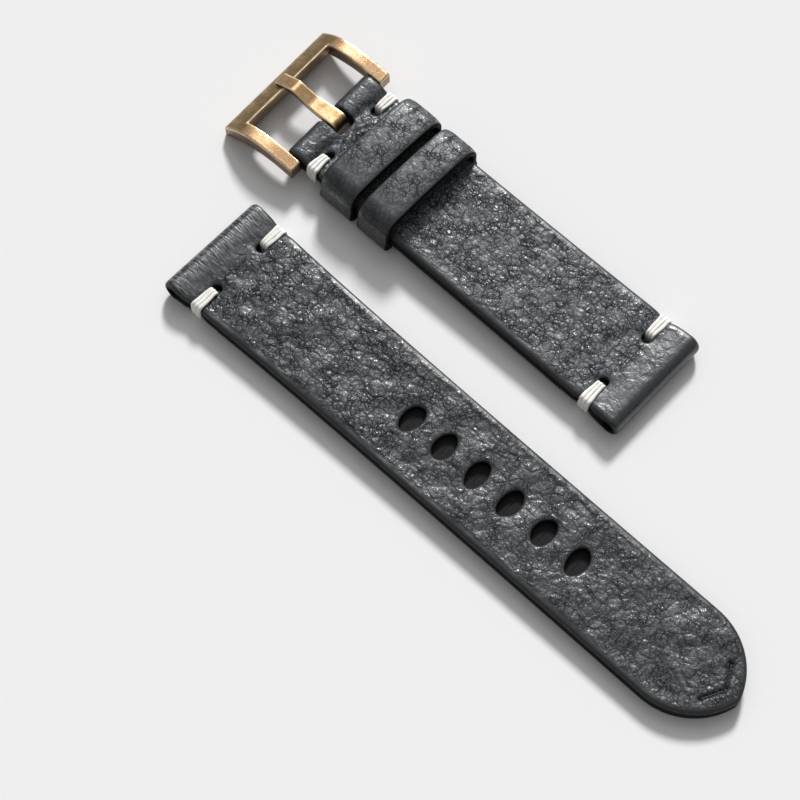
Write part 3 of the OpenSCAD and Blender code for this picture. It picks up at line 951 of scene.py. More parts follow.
class StrapPiece:
    """What both leather pieces share: taper, grain, lug fold and side stitches."""

    SHADED_SMOOTH_NEAR = 0.6
    SMOOTH_FAR = 0.25
    SMOOTH_WANDER = 0.35
    EDGE_FADE = 1.1
    LEAST_GRAIN = 0.12

    def __init__(self, leather: Leather, end_w: float, seeds: tuple[int, int],
                 near: int) -> None:
        """Takes the sizes and makes the lug fold, its stitch and the grain.

        Args:
            leather: sizes of the leather.
            end_w: the width that the piece tapers to.
            seeds: numbers that fix the grain and its slow changes.
            near: sign of the side across the piece that faces the camera.
        """
        self.leather, self.end_w, self.near = leather, end_w, near
        self.lug = Fold(leather.lug_ring_r, leather.lug_bore_r, leather.lug_blend,
                        leather.lug_slit, leather.lug_slit_h, leather.lug_flap,
                        leather.half_t, leather.upper_t)
        self.lug_stitch = SideStitch(leather.lug_stitch_back, leather.lug_stitch_in)
        self.stitches = (self.lug_stitch,)
        self.grain, self.noise = PebbleGrain(seeds[0]), Noise(seeds[1])

    def place(self, s: Array) -> Array:
        """Distance along the strap of a place on the unfolded layer."""
        return self.lug.place(s)

    def half_width(self, x: Array) -> Array:
        """Half the piece's width at a distance from its lug bore."""
        return self.leather.half_width(x, self.end_w)

    def stitch_holes(self, stitch: SideStitch, both_ways: float) -> list[Array]:
        """Works out a stitch's holes, on top and on the flap under it.

        Args:
            stitch: the stitch.
            both_ways: sum of the two places along the unfolded leather.

        Returns:
            Their outlines.
        """
        y = float(self.half_width(np.array(stitch.x))) - stitch.inset
        return [slot_outline(s, side.value * y, stitch.hole_w, stitch.hole_h)
                for side in Side for s in (stitch.x, both_ways - stitch.x)]

    def settle(self, s: Array, y: Array) -> tuple[Array, Array]:
        """How the leather gives way under the side stitches.

        Args:
            s: places along the unfolded leather.
            y: places across it.

        Returns:
            The moves across the strap and inwards.
        """
        x = self.place(s)
        moves = [stitch.give(x, y, self.half_width(x)) for stitch in self.stitches]
        across, inwards = np.sum(moves, axis=0)
        return across, inwards

    def strength(self, at: Spots, full: Array, narrowed: Array | float = 1.0) -> Array:
        """How strong the grain is: it fades towards the smooth edges and round the holes, and the
        near side's wider smooth band is painted shade.

        Args:
            at: places on the unfolded leather.
            full: its strength away from them.
            narrowed: what the smooth edges' width is multiplied by.

        Returns:
            The strengths.
        """
        # painted shade: the smooth band is wider on the near side, so the edge facing away from the
        # light takes the darker smooth colour
        bare = np.where(at.y * self.near > 0, self.SHADED_SMOOTH_NEAR, self.SMOOTH_FAR)
        bare = (bare + self.SMOOTH_WANDER * self.noise.at(at.s, at.y, 2.2)) * narrowed
        by_edge = ease((at.outline - bare) / self.EDGE_FADE)
        return full * by_edge * (0.35 + 0.65 * ease(at.hole / 0.9))

    @staticmethod
    def lug_end(at: Spots) -> Array:
        """Where the smooth leather over the watch's bar is, from 0 to 1."""
        return ease((at.s + 2.2) / 1.5) * ease((5.5 - at.s) / 3.0) * ease(at.outline / 1.0)


class LongPiece(StrapPiece):
    """The long leather piece with its adjusting holes and its pointed tip."""

    HOLES = 6
    HOLE_FIRST = 42.4
    HOLE_PITCH = 6.73
    HOLE_ALONG = 3.1
    HOLE_ACROSS = 5.0
    # the lining gets only a thin slit under each hole, so a dark sheet of lining stands in for the
    # shade inside the holes
    SLIT_ALONG = 0.06
    SLIT_ACROSS = 3.4
    TIP_ARC_R = 11.5
    TIP_NOSE_R = 1.8
    WRINKLE = 0.012
    SWELL = 0.2
    SMALL_SWELL = 0.16
    HOLE_DIP = 0.22
    GROOVE = 0.4
    GROOVE_END = 0.25

    def __init__(self, leather: Leather) -> None:
        """Takes the leather's sizes."""
        super().__init__(leather, leather.long_tail_w, (3, 17), -1)

    def tip_outline(self) -> Array:
        """Works out the tip's far side: an arc of the large radius and one of the nose's.

        Returns:
            Points from the straight side to the end of the nose.
        """
        tail, arc, nose = self.leather.long_tail_w / 2, self.TIP_ARC_R, self.TIP_NOSE_R
        lead = math.sqrt((arc - nose) ** 2 - (arc - tail) ** 2)
        start = self.leather.long_len - nose - lead
        join = math.acos(lead / (arc - nose))
        a = np.linspace(math.pi / 2, join, 26)
        b = np.linspace(join, 0, 12)[1:]
        first = np.stack([start + arc * np.cos(a), tail - arc + arc * np.sin(a)], axis=1)
        end = np.stack([self.leather.long_len - nose + nose * np.cos(b), nose * np.sin(b)], axis=1)
        return np.concatenate([first, end])

    def outline(self, start: float) -> Array:
        """Outline of a layer on its flat pattern.

        Args:
            start: place at which the layer starts.

        Returns:
            The outline's points.
        """
        tip = self.tip_outline()
        s = np.linspace(start, tip[0, 0], 90)[:-1]
        side = np.stack([s, self.half_width(self.place(s))], axis=1)
        return mirrored(np.concatenate([side, tip]))

    def adjusting_holes(self, along: float, across: float) -> list[Array]:
        """Slightly uneven oval outlines of the adjusting holes.

        Args:
            along: a hole's size along the strap.
            across: its size across the strap.

        Returns:
            One outline for each hole.
        """
        a = np.linspace(0, 2 * math.pi, 28, endpoint=False)
        holes = []
        for i in range(self.HOLES):
            worn = 1 + 0.035 * np.sin(2 * a + 1.9 * i) + 0.025 * np.sin(3 * a + 2.7 * i)
            oval = np.stack([along / 2 * np.cos(a), across / 2 * np.sin(a)], axis=1)
            holes.append(oval * worn[:, None] + (self.HOLE_FIRST + i * self.HOLE_PITCH, 0))
        return holes

    def relief(self, at: Spots) -> tuple[Array, Array, Array]:
        """Relief of the grain side.

        Args:
            at: places on the unfolded leather.

        Returns:
            Heights, creases, and burnished smoothness that also carries painted shade along the
            near edge.
        """
        s, y, noise = at.s, at.y, self.noise
        top, end = ease((s - 1.0) / 5.5), self.lug_end(at)
        narrowed = 1 - 0.7 * ease((s - self.leather.long_len + 12) / 6)
        strength = self.strength(at, top, narrowed)
        height, crease = self.grain.relief(s, y, self.LEAST_GRAIN + 0.88 * strength)
        height *= ease((s + 1.5) / 2.0)
        wrinkle = noise.at(s / 4.0, y, 0.34) + 0.6 * noise.at(s / 5.0, y + 9, 0.8)
        height += self.WRINKLE * wrinkle * end + 0.02 * noise.at(s, y, 3.0) * end
        swell = self.SWELL * noise.at(s, y, 6.5) + self.SMALL_SWELL * noise.at(y, s, 2.9)
        height += swell * top * ease(at.outline / 2.5)
        height -= self.HOLE_DIP * np.exp(-at.hole / 0.8) * ease((s - 20) / 5)
        # painted shade: dark streaks along the lug end's fine wrinkles
        crease = np.maximum(crease, 0.35 * ease(wrinkle) * end)
        thread = TipStitch(self.leather)
        for side in Side:
            along, end_dent = thread.reach(s, y, side.value)
            height -= self.GROOVE * bell(along / 0.36) + self.GROOVE_END * bell(end_dent / 0.4)
            # painted shade along the grooves that the tip thread lies in
            crease = np.maximum(crease, 0.9 * bell(along / 0.3))
        return height, crease, 1 - strength

    def layers(self) -> tuple[Mesh, Mesh]:
        """Cuts and folds both layers.

        Returns:
            Meshes of the upper leather and of the lining.
        """
        leather, start = self.leather, -self.lug.turn - self.leather.lug_flap
        stations, outer, inner = self.lug.lines(leather.lug_flap + 4)
        end = leather.long_len + 9.0
        run = Run(np.append(stations, end), np.vstack([outer, [end, leather.half_t]]),
                  np.vstack([inner, [end, leather.half_t - leather.upper_t]]))
        holes = self.adjusting_holes(self.HOLE_ALONG, self.HOLE_ACROSS)
        slits = self.adjusting_holes(self.SLIT_ALONG, self.SLIT_ACROSS)
        stitch = self.stitch_holes(self.lug_stitch, -self.lug.turn)
        upper = Layer(Pattern(self.outline(start), holes + stitch), run)
        lining_start = leather.lug_flap + leather.flap_joint
        flat = flat_run(lining_start, leather.long_len, -leather.half_t,
                        leather.lining_t - leather.half_t)
        lining = Layer(Pattern(self.outline(lining_start), slits), flat, grain_step=0.6,
                       outline_round=(0.35, 0.3), hole_round=(0.08, 0.05))
        return upper.build(self.relief, self.settle), turned_over(lining)


def turned_over(layer: Layer) -> Mesh:
    """Builds a lining, whose grain side looks down."""
    mesh = layer.build()
    mesh.faces = [list(face)[::-1] for face in mesh.faces]
    return mesh


class ShortPiece(StrapPiece):
    """The short leather piece, folded round the watch's bar and round the buckle's bar."""

    SLOT_W = 3.8
    SLOT_BACK = 3.0
    SLOT_R = 0.5
    FOLD_REACH = 20.0
    YAW_FROM = 6.5
    YAW_RUN = 4.5
    TUBE_DIP = 0.55
    RUMPLE = 0.13

    def __init__(self, leather: Leather, yaw: float) -> None:
        """Works out both folds and the stitches.

        Args:
            leather: sizes of the leather.
            yaw: turn of the buckle's bar, seen from above.
        """
        super().__init__(leather, leather.buckle_end_w, (8, 29), 1)
        self.yaw = yaw
        self.bar = Fold(leather.bar_ring_r, leather.bar_bore_r, leather.bar_blend,
                        leather.bar_slit, leather.bar_slit_h, leather.bar_flap, leather.half_t,
                        leather.upper_t)
        self.bar_stitch = SideStitch(leather.short_len - leather.bar_stitch_back,
                                     leather.bar_stitch_in, pinch=0.2)
        self.stitches = (self.lug_stitch, self.bar_stitch)

    def place(self, s: Array) -> Array:
        """Distance along the strap of a place on the unfolded layer."""
        middle = self.leather.short_len / 2
        far = self.leather.short_len - self.bar.place(self.leather.short_len - s)
        return np.where(s < middle, self.lug.place(s), far)

    def outline(self, start: float, end: float) -> Array:
        """Outline of a layer between two places along its flat pattern."""
        s = np.linspace(start, end, 90)
        return mirrored(np.stack([s, self.half_width(self.place(s))], axis=1))

    def holes(self) -> list[Array]:
        """Works out the stitch holes, on top and on the flaps, and the tongue's slot.

        Returns:
            Their outlines.
        """
        length = self.leather.short_len
        found = self.stitch_holes(self.lug_stitch, -self.lug.turn)
        found += self.stitch_holes(self.bar_stitch, 2 * length + self.bar.turn)
        start, end = length - self.SLOT_BACK, length + self.bar.turn + self.SLOT_BACK
        half, r = self.SLOT_W / 2, self.SLOT_R
        turns = np.radians(np.linspace(0, 90, 5))
        right = np.stack([end - r + r * np.sin(turns), half - r + r * np.cos(turns)], axis=1)
        left = right * (-1, 1) + (start + end, 0)
        found.append(np.concatenate([left[::-1], right, right[::-1] * (1, -1), left * (1, -1)]))
        return found

    def relief(self, at: Spots) -> tuple[Array, Array, Array]:
        """Relief of the grain side.

        Args:
            at: places on the unfolded leather.

        Returns:
            Heights, creases, and burnished smoothness that also carries painted shade along the
            near edge.
        """
        s, y, noise, length = at.s, at.y, self.noise, self.leather.short_len
        on_top = ease((s + 1.5) / 2.0) * ease((length + 2.0 - s) / 2.0)
        middle = ease((s - 1.0) / 5.5) * (0.1 + 0.9 * ease((length - 2.4 - s) / 1.4))
        strength = self.strength(at, middle * on_top)
        height, crease = self.grain.relief(s, y, self.LEAST_GRAIN + 0.88 * strength)
        height = height * on_top + 0.12 * noise.at(s, y, 6.5) * strength
        behind_tube = bell((length - s - 3.3 + 0.4 * noise.at(y, s, 2.5)) / 0.9) * on_top
        height -= self.TUBE_DIP * behind_tube * (0.35 + 0.65 * ease(at.outline / 1.2))
        height += 0.02 * noise.at(s, y, 2.6) * self.lug_end(at)
        from_bar = length - s
        rumple = bell((from_bar - 4.6) / 2.2) * bell(y / 4.2) * on_top
        waves = np.sin(2 * math.pi * (from_bar - 0.55 * np.abs(y) + 0.5 * noise.at(s, y, 2)) / 1.5)
        height += self.RUMPLE * waves * rumple
        # painted shade in the troughs of the rumpled leather behind the slot
        crease = np.maximum(crease, ease(-waves * 1.2) * rumple * 0.8)
        fine = (0.55 + 0.3 * ease((s - length + 6) / 3)) * on_top * ease((at.outline - 0.3) / 0.8)
        fine *= 0.7 + 0.3 * noise.at(s, y, 2.4)
        return height, crease, 1 - np.maximum(strength, fine)

    def yawed(self, mesh: Mesh) -> Mesh:
        """Turns the buckle end of the leather to the bar's direction.

        Args:
            mesh: the straight leather.

        Returns:
            The same mesh, with its points moved.
        """
        x, y = mesh.points[:, 0], mesh.points[:, 1]
        reach = x - self.leather.short_len
        part = ease((reach + self.YAW_FROM) / self.YAW_RUN)
        c, s = math.cos(self.yaw), math.sin(self.yaw)
        turned_x = self.leather.short_len + c * reach - s * y
        turned_y = s * reach + c * y
        mesh.points[:, 0] = x + (turned_x - x) * part
        mesh.points[:, 1] = y + (turned_y - y) * part
        return mesh

    def layers(self) -> tuple[Mesh, Mesh]:
        """Cuts and folds both layers.

        Returns:
            Meshes of the upper leather and of the lining.
        """
        leather, length = self.leather, self.leather.short_len
        lug, bar = self.lug.lines(self.FOLD_REACH), self.bar.lines(self.FOLD_REACH)
        outer, inner = (np.vstack([first, last[::-1] * (-1, 1) + (length, 0)])
                        for first, last in zip(lug[1:], bar[1:]))
        run = Run(np.concatenate([lug[0], length - bar[0][::-1]]), outer, inner)
        start = -self.lug.turn - leather.lug_flap
        end = length + self.bar.turn + leather.bar_flap
        upper = Layer(Pattern(self.outline(start, end), self.holes()), run)
        first = leather.lug_flap + leather.flap_joint
        last = length - leather.bar_flap - leather.flap_joint
        flat = flat_run(first, last, -leather.half_t, leather.lining_t - leather.half_t)
        lining = Layer(Pattern(self.outline(first, last), []), flat, grain_step=0.6,
                       outline_round=(0.35, 0.3))
        return self.yawed(upper.build(self.relief, self.settle)), turned_over(lining)


def swept(path: Array, wide: Array, section: Array, scales: Array, closed: bool = True) -> Mesh:
    """Sweeps a section along a path.

    Args:
        path: points of the path.
        wide: direction of the section's first axis at each point.
        section: points of the section, in its two axes.
        scales: size of the section's two axes at each point.
        closed: whether the path is a ring.

    Returns:
        The mesh, with places round and along it.
    """
    n, m = len(path), len(section)
    both_ways = np.roll(path, -1, axis=0) - np.roll(path, 1, axis=0)
    ahead = unit(both_ways if closed else np.gradient(path, axis=0))
    wide = unit(wide - np.sum(wide * ahead, axis=1)[:, None] * ahead)
    up = np.cross(ahead, wide)
    u = section[None, :, 0, None] * scales[:, None, 0, None] * wide[:, None, :]
    v = section[None, :, 1, None] * scales[:, None, 1, None] * up[:, None, :]
    points = (path[:, None, :] + u + v).reshape(-1, 3)
    faces = ring_faces(n, m, closed)
    if not closed:
        faces += [list(range(m)), list(range((n - 1) * m, n * m))[::-1]]
    steps = np.linalg.norm(np.diff(path, axis=0, append=path[:1]), axis=1)
    along = np.concatenate([[0], np.cumsum(steps)[:-1]])
    turn = np.arctan2(section[:, 1], section[:, 0])
    lay = np.stack([np.tile(np.cos(turn), n), np.tile(np.sin(turn), n), np.repeat(along, m)], 1)
    return Mesh(points, faces, {"thread": lay}).outward()


def strand_section(lobes: int, depth: float, square: float = 2.4, steps: int = 30) -> Array:
    """Section of a flat waxed strand, with lengthwise ridges.

    Args:
        lobes: number of ridges.
        depth: depth of the grooves between them, as a part of the strand's size.
        square: how square the section is, from 2 for an ellipse.
        steps: number of points.

    Returns:
        Points of the section, one across.
    """
    a = np.linspace(0, 2 * math.pi, steps, endpoint=False)
    c, s = np.cos(a), np.sin(a)
    r = (np.abs(c) ** square + np.abs(s) ** square) ** (-1 / square)
    r *= 1 - depth * (0.5 + 0.5 * np.cos(lobes * a))
    return 0.5 * np.stack([r * c, r * s], axis=1)


def rounded_box(left: float, right: float, top: float, left_r: float, right_r: float,
                count: int, step: float) -> Array:
    """A closed line round a box that reaches as far down as up, with round corners.

    Args:
        left: place of its left side.
        right: place of its right side.
        top: half its height.
        left_r: radius of the left corners.
        right_r: radius of the right corners.
        count: points of a corner.
        step: largest distance between two points of the sides.

    Returns:
        The line's points, clockwise from the left side.
    """
    return refined(np.concatenate([
        arc(left + left_r, top - left_r, left_r, 180, 90, count),
        arc(right - right_r, top - right_r, right_r, 90, 0, count),
        arc(right - right_r, right_r - top, right_r, 0, -90, count),
        arc(left + left_r, left_r - top, left_r, -90, -180, count)]), step)


class SideStitches:
    """The white waxed thread of a side stitch: strands laid side by side round the edge."""

    INNER_R = 0.5
    OUTER_R = 0.62
    STEP = 0.2
    UNEVEN = 0.03
    WANDER = 0.05

    def __init__(self, stitch: SideStitch, half_w: float, height: float, seed: int) -> None:
        """Takes the stitch's sizes, the strap's half width and half height there, and a seed."""
        self.stitch, self.half_w, self.height = stitch, half_w, height
        self.random = np.random.RandomState(seed)

    def build(self, side: int) -> Mesh:
        """Makes all strands of the stitch on one side of the strap.

        Args:
            side: -1 or 1, the side's sign across the strap.

        Returns:
            The strands' mesh.
        """
        stitch, strands = self.stitch, []
        rim = self.half_w - stitch.inset
        for k in range(stitch.strands):
            place = k - (stitch.strands - 1) / 2
            uneven = self.UNEVEN * self.random.rand() + (self.UNEVEN if place == 0 else 0.0)
            lift = stitch.strand_t / 2 + uneven
            y, z = rounded_box(rim + stitch.hole_h / 2 - lift * 0.9,
                               self.half_w - stitch.pinch + lift,
                               self.height - stitch.sink + lift,
                               self.INNER_R, self.OUTER_R, 9, self.STEP).T
            part = ease((y - rim) / (stitch.inset * 0.9))
            pitch = stitch.hole_pitch + (stitch.edge_pitch - stitch.hole_pitch) * part
            wander = self.WANDER * np.sin(y * 1.7 + 9 * self.random.rand()) * part
            x = stitch.x + place * pitch + wander * np.where(z > 0, 1, -1)
            width = np.minimum(stitch.strand_w, pitch * 1.06 + 0.04)
            wide = np.tile([1.0, 0.0, 0.0], (len(x), 1))
            scales = np.stack([width, np.full(len(x), stitch.strand_t)], axis=1)
            strands.append(swept(np.stack([x, y * side, z], axis=1), wide,
                                 strand_section(5, 0.09), scales))
        return joined(strands)


class TipStitch:
    """The dark thread of the V at the tip, pulled down into its grooves."""

    THREAD = 0.5
    SINK = 0.34
    FROM = (-2.6, 0.36)
    LEG = (-1.7, 3.2)
    CORNER_R = 0.34
    STEP = 0.12
    TWIST = 1.1
    FLATNESS = 0.82

    def __init__(self, leather: Leather) -> None:
        """Takes the sizes of the leather."""
        self.leather = leather

    def legs(self, side: int) -> tuple[Array, Array]:
        """Both ends of the leg on one side, in the strap's plan."""
        start = np.array([self.leather.long_len + self.FROM[0], self.FROM[1] * side])
        return start, start + np.array([self.LEG[0], self.LEG[1] * side])

    def reach(self, s: Array, y: Array, side: int) -> tuple[Array, Array]:
        """Distances of places on the strap from one leg and from its nearer end.

        Args:
            s: places along the strap.
            y: places across it.
            side: -1 or 1, the side's sign across the strap.

        Returns:
            The distances from the leg and those from its ends.
        """
        start, end = self.legs(side)
        place, ahead = np.stack([s, y], axis=1) - start, end - start
        part = np.clip(place @ ahead / (ahead @ ahead), 0, 1)
        along = np.linalg.norm(place - part[:, None] * ahead, axis=1)
        ends = np.minimum(np.linalg.norm(place, axis=1), np.linalg.norm(place - ahead, axis=1))
        return along, ends

    def build(self, side: int) -> Mesh:
        """Makes the closed run of thread on one side.

        Args:
            side: -1 or 1, the side's sign across the strap.

        Returns:
            The thread's mesh.
        """
        start, end = self.legs(side)
        length = np.linalg.norm(end - start)
        ahead = (end - start) / length
        top = self.leather.half_t - self.SINK
        flat = rounded_box(0.0, length, top, self.CORNER_R, self.CORNER_R, 7, self.STEP)
        points = np.column_stack([start[0] + flat[:, 0] * ahead[0],
                                  start[1] + flat[:, 0] * ahead[1], flat[:, 1]])
        n = len(points)
        turns = round(n * self.STEP / self.TWIST)
        turn = np.linspace(0, 2 * math.pi * turns, n, endpoint=False)[:, None]
        across = np.array([-ahead[1], ahead[0], 0.0])
        tangent = unit(np.roll(points, -1, axis=0) - np.roll(points, 1, axis=0))
        wide = np.cos(turn) * across + np.sin(turn) * np.cross(tangent, across)
        section = strand_section(2, 0.0, 2.0, 16) * (1.0, self.FLATNESS)
        scales = np.full((n, 2), self.THREAD)
        return swept(points, wide, section, scales)


@dataclass(frozen=True)
class KeeperSizes:
    """Sizes of a keeper, in millimetres."""

    x: float
    width: float
    drop: float
    leather_t: float = 1.1
    inner_w: float = 19.66
    inner_h: float = 5.65
    top_r: float = 2.0
    base_r: float = 0.2
    cut_round: float = 0.26
    crown: float = 0.3
    arch: float = 0.5


class Keeper:
    """A closed band of leather round the strap."""

    STEPS = 260
    MIDDLE = 0.6
    LOOP_LENGTH = 59.0
    CROWN_W = 1.9
    ROUNDING = 0.05
    LUMP = 0.04

    def __init__(self, sizes: KeeperSizes, half_t: float, seed: int) -> None:
        """Takes the band's sizes.

        Args:
            sizes: sizes of the band.
            half_t: half the strap's thickness.
            seed: number that fixes its grain.
        """
        self.sizes, self.base = sizes, -half_t - sizes.drop
        self.grain = PebbleGrain(seed, cell=2.1, fine_cell=1.1, depth=0.006, fine_depth=0.002,
                                 lean=0.004)
        self.noise = Noise(seed + 40)

    def loop(self, out: float) -> tuple[Array, Array]:
        """A closed line round the band at a distance from its inner side.

        Args:
            out: distance from the inner side.

        Returns:
            The points in y and z, and the outward directions.
        """
        k = self.sizes
        half, low, high = k.inner_w / 2, self.base, self.base + k.inner_h
        corners = ((half - k.base_r, low + k.base_r, k.base_r, -90),
                   (half - k.top_r, high - k.top_r, k.top_r, 0),
                   (k.top_r - half, high - k.top_r, k.top_r, 90),
                   (k.base_r - half, low + k.base_r, k.base_r, 180))
        facing = np.concatenate([arc(0, 0, 1, start, start + 90, 10)
                                 for _, _, _, start in corners])
        line = np.concatenate([np.array([cy, cz]) + arc(0, 0, 1, start, start + 90, 10) * (r + out)
                               for cy, cz, r, start in corners])
        middle = line - facing * out + facing * self.MIDDLE
        steps = np.linalg.norm(np.roll(middle, -1, axis=0) - middle, axis=1)
        total = np.concatenate([[0], np.cumsum(steps)])
        where = np.linspace(0, total[-1], self.STEPS, endpoint=False)
        points, normals = (read_line(where, total, np.vstack([values, values[:1]]))
                           for values in (line, facing))
        return points, unit(normals)

    def profile(self) -> tuple[Array, Array, Array]:
        """Section of the band's leather.

        Returns:
            Places along the strap, heights above the inner side, and where the grain is.
        """
        k = self.sizes
        r, t, w = k.cut_round, k.leather_t, k.width
        outer_x = np.arange(r, w - r + 1e-6, (w - 2 * r) / 26)
        a = np.radians(np.linspace(90, 0, 7))
        along = np.concatenate([outer_x, w - r + r * np.cos(a)[1:], [w, w],
                                np.linspace(w - 0.12, 0.12, 9), [0, 0],
                                (r - r * np.cos(a))[::-1][:-1]])
        height = np.concatenate([np.full(len(outer_x), t), t - r + r * np.sin(a)[1:],
                                 [t * 0.4, 0.12], np.zeros(9), [0.12, t * 0.4],
                                 (t - r + r * np.sin(a))[::-1][:-1]])
        grain = np.concatenate([np.ones(len(outer_x)), np.zeros(len(along) - len(outer_x))])
        return along, height, grain

    def build(self) -> Mesh:
        """Makes the band, with its crown, its slightly arched top, its grain, and painted shade on
        its lower and near sides.

        Returns:
            The band's mesh, with the values that its material reads.
        """
        k = self.sizes
        along, height, grain = self.profile()
        n, m = self.STEPS, len(along)
        rings = [self.loop(h) for h in height]
        (y, z), (out_y, out_z) = (np.array([ring[kind] for ring in rings]).T for kind in (0, 1))
        around = np.repeat(np.linspace(0, self.LOOP_LENGTH, n)[:, None], m, axis=1)
        x = np.repeat(along[None, :], n, axis=0)
        edge = np.minimum(x, k.width - x)
        # painted shade: the lower sides and the near side lose their grain and take the near-black
        # smooth colour
        strength = grain[None, :] * ease((edge - 0.2) / 0.5) * ease((z - self.base - 0.5) / 4.5)
        strength *= 1 - 0.65 * ease((y - 2.0) / 6.5)
        lift, crease = self.grain.relief(x.ravel(), around.ravel(),
                                         (0.1 + 0.9 * strength).ravel())
        lift = lift.reshape(x.shape) * grain[None, :]
        outside = (height > 0.5)[None, :]
        lift -= k.crown * np.clip(1 - edge / self.CROWN_W, 0, 1) ** 2 * outside
        lumps = self.LUMP * self.noise.at(x, around, 7.0)
        lift += lumps * grain[None, :] * ease((edge - 0.3) / 1.5)
        lift -= self.ROUNDING * outside
        lift *= ease((z - self.base - 0.2) / 1.6)
        settled = k.arch * (2 * y / k.inner_w) ** 2 * ease((z - self.base - 2.5) / 2)
        points = np.stack([k.x + x, y + out_y * lift, z + out_z * lift - settled], axis=2)
        cut = np.repeat((1 - grain)[None, :], n, axis=0) * (height > 0.01)[None, :]
        crease = crease.reshape(x.shape) * grain[None, :]
        values = {"sheet": np.column_stack([x.ravel(), around.ravel(), z.ravel() * 0.3]),
                  "crease": crease.ravel(), "burnish": (1 - strength).ravel(),
                  "cut": cut.ravel()}
        return Mesh(points.reshape(-1, 3), ring_faces(n, m), values).outward()


class KeeperStitch:
    """One of the two dark stitches that close the floating keeper underneath."""

    LENGTH = 2.0
    SPACING = 1.6
    THREAD = 0.28
    SUNK = 0.22
    HEIGHT = 0.5
    BEND_R = 0.12

    def build(self, keeper: KeeperSizes, half_t: float, side: int) -> Mesh:
        """Makes the staple of thread.

        Args:
            keeper: sizes of the keeper.
            half_t: half the strap's thickness.
            side: -1 or 1, the side's sign across the strap.

        Returns:
            The stitch's mesh.
        """
        low = -half_t - keeper.drop - keeper.leather_t + self.SUNK
        start = keeper.x + (keeper.width - self.LENGTH) / 2
        high, r = low + self.HEIGHT, self.BEND_R
        a = np.radians(np.linspace(0, 90, 5))
        first = np.stack([start + r - r * np.cos(a), low + r - r * np.sin(a)], axis=1)
        half = np.concatenate([[[start, high]], first,
                               [[start + self.LENGTH * p, low] for p in (0.2, 0.35)]])
        mirror = half[::-1] * (-1, 1) + (2 * start + self.LENGTH, 0)
        line = np.concatenate([half, mirror])
        path = np.column_stack([line[:, 0], np.full(len(line), side * self.SPACING / 2),
                                line[:, 1]])
        wide = np.tile([0.0, 1.0, 0.0], (len(path), 1))
        scales = np.full((len(path), 2), self.THREAD)
        return swept(path, wide, strand_section(3, 0.08, 2.0, 12), scales, closed=False)


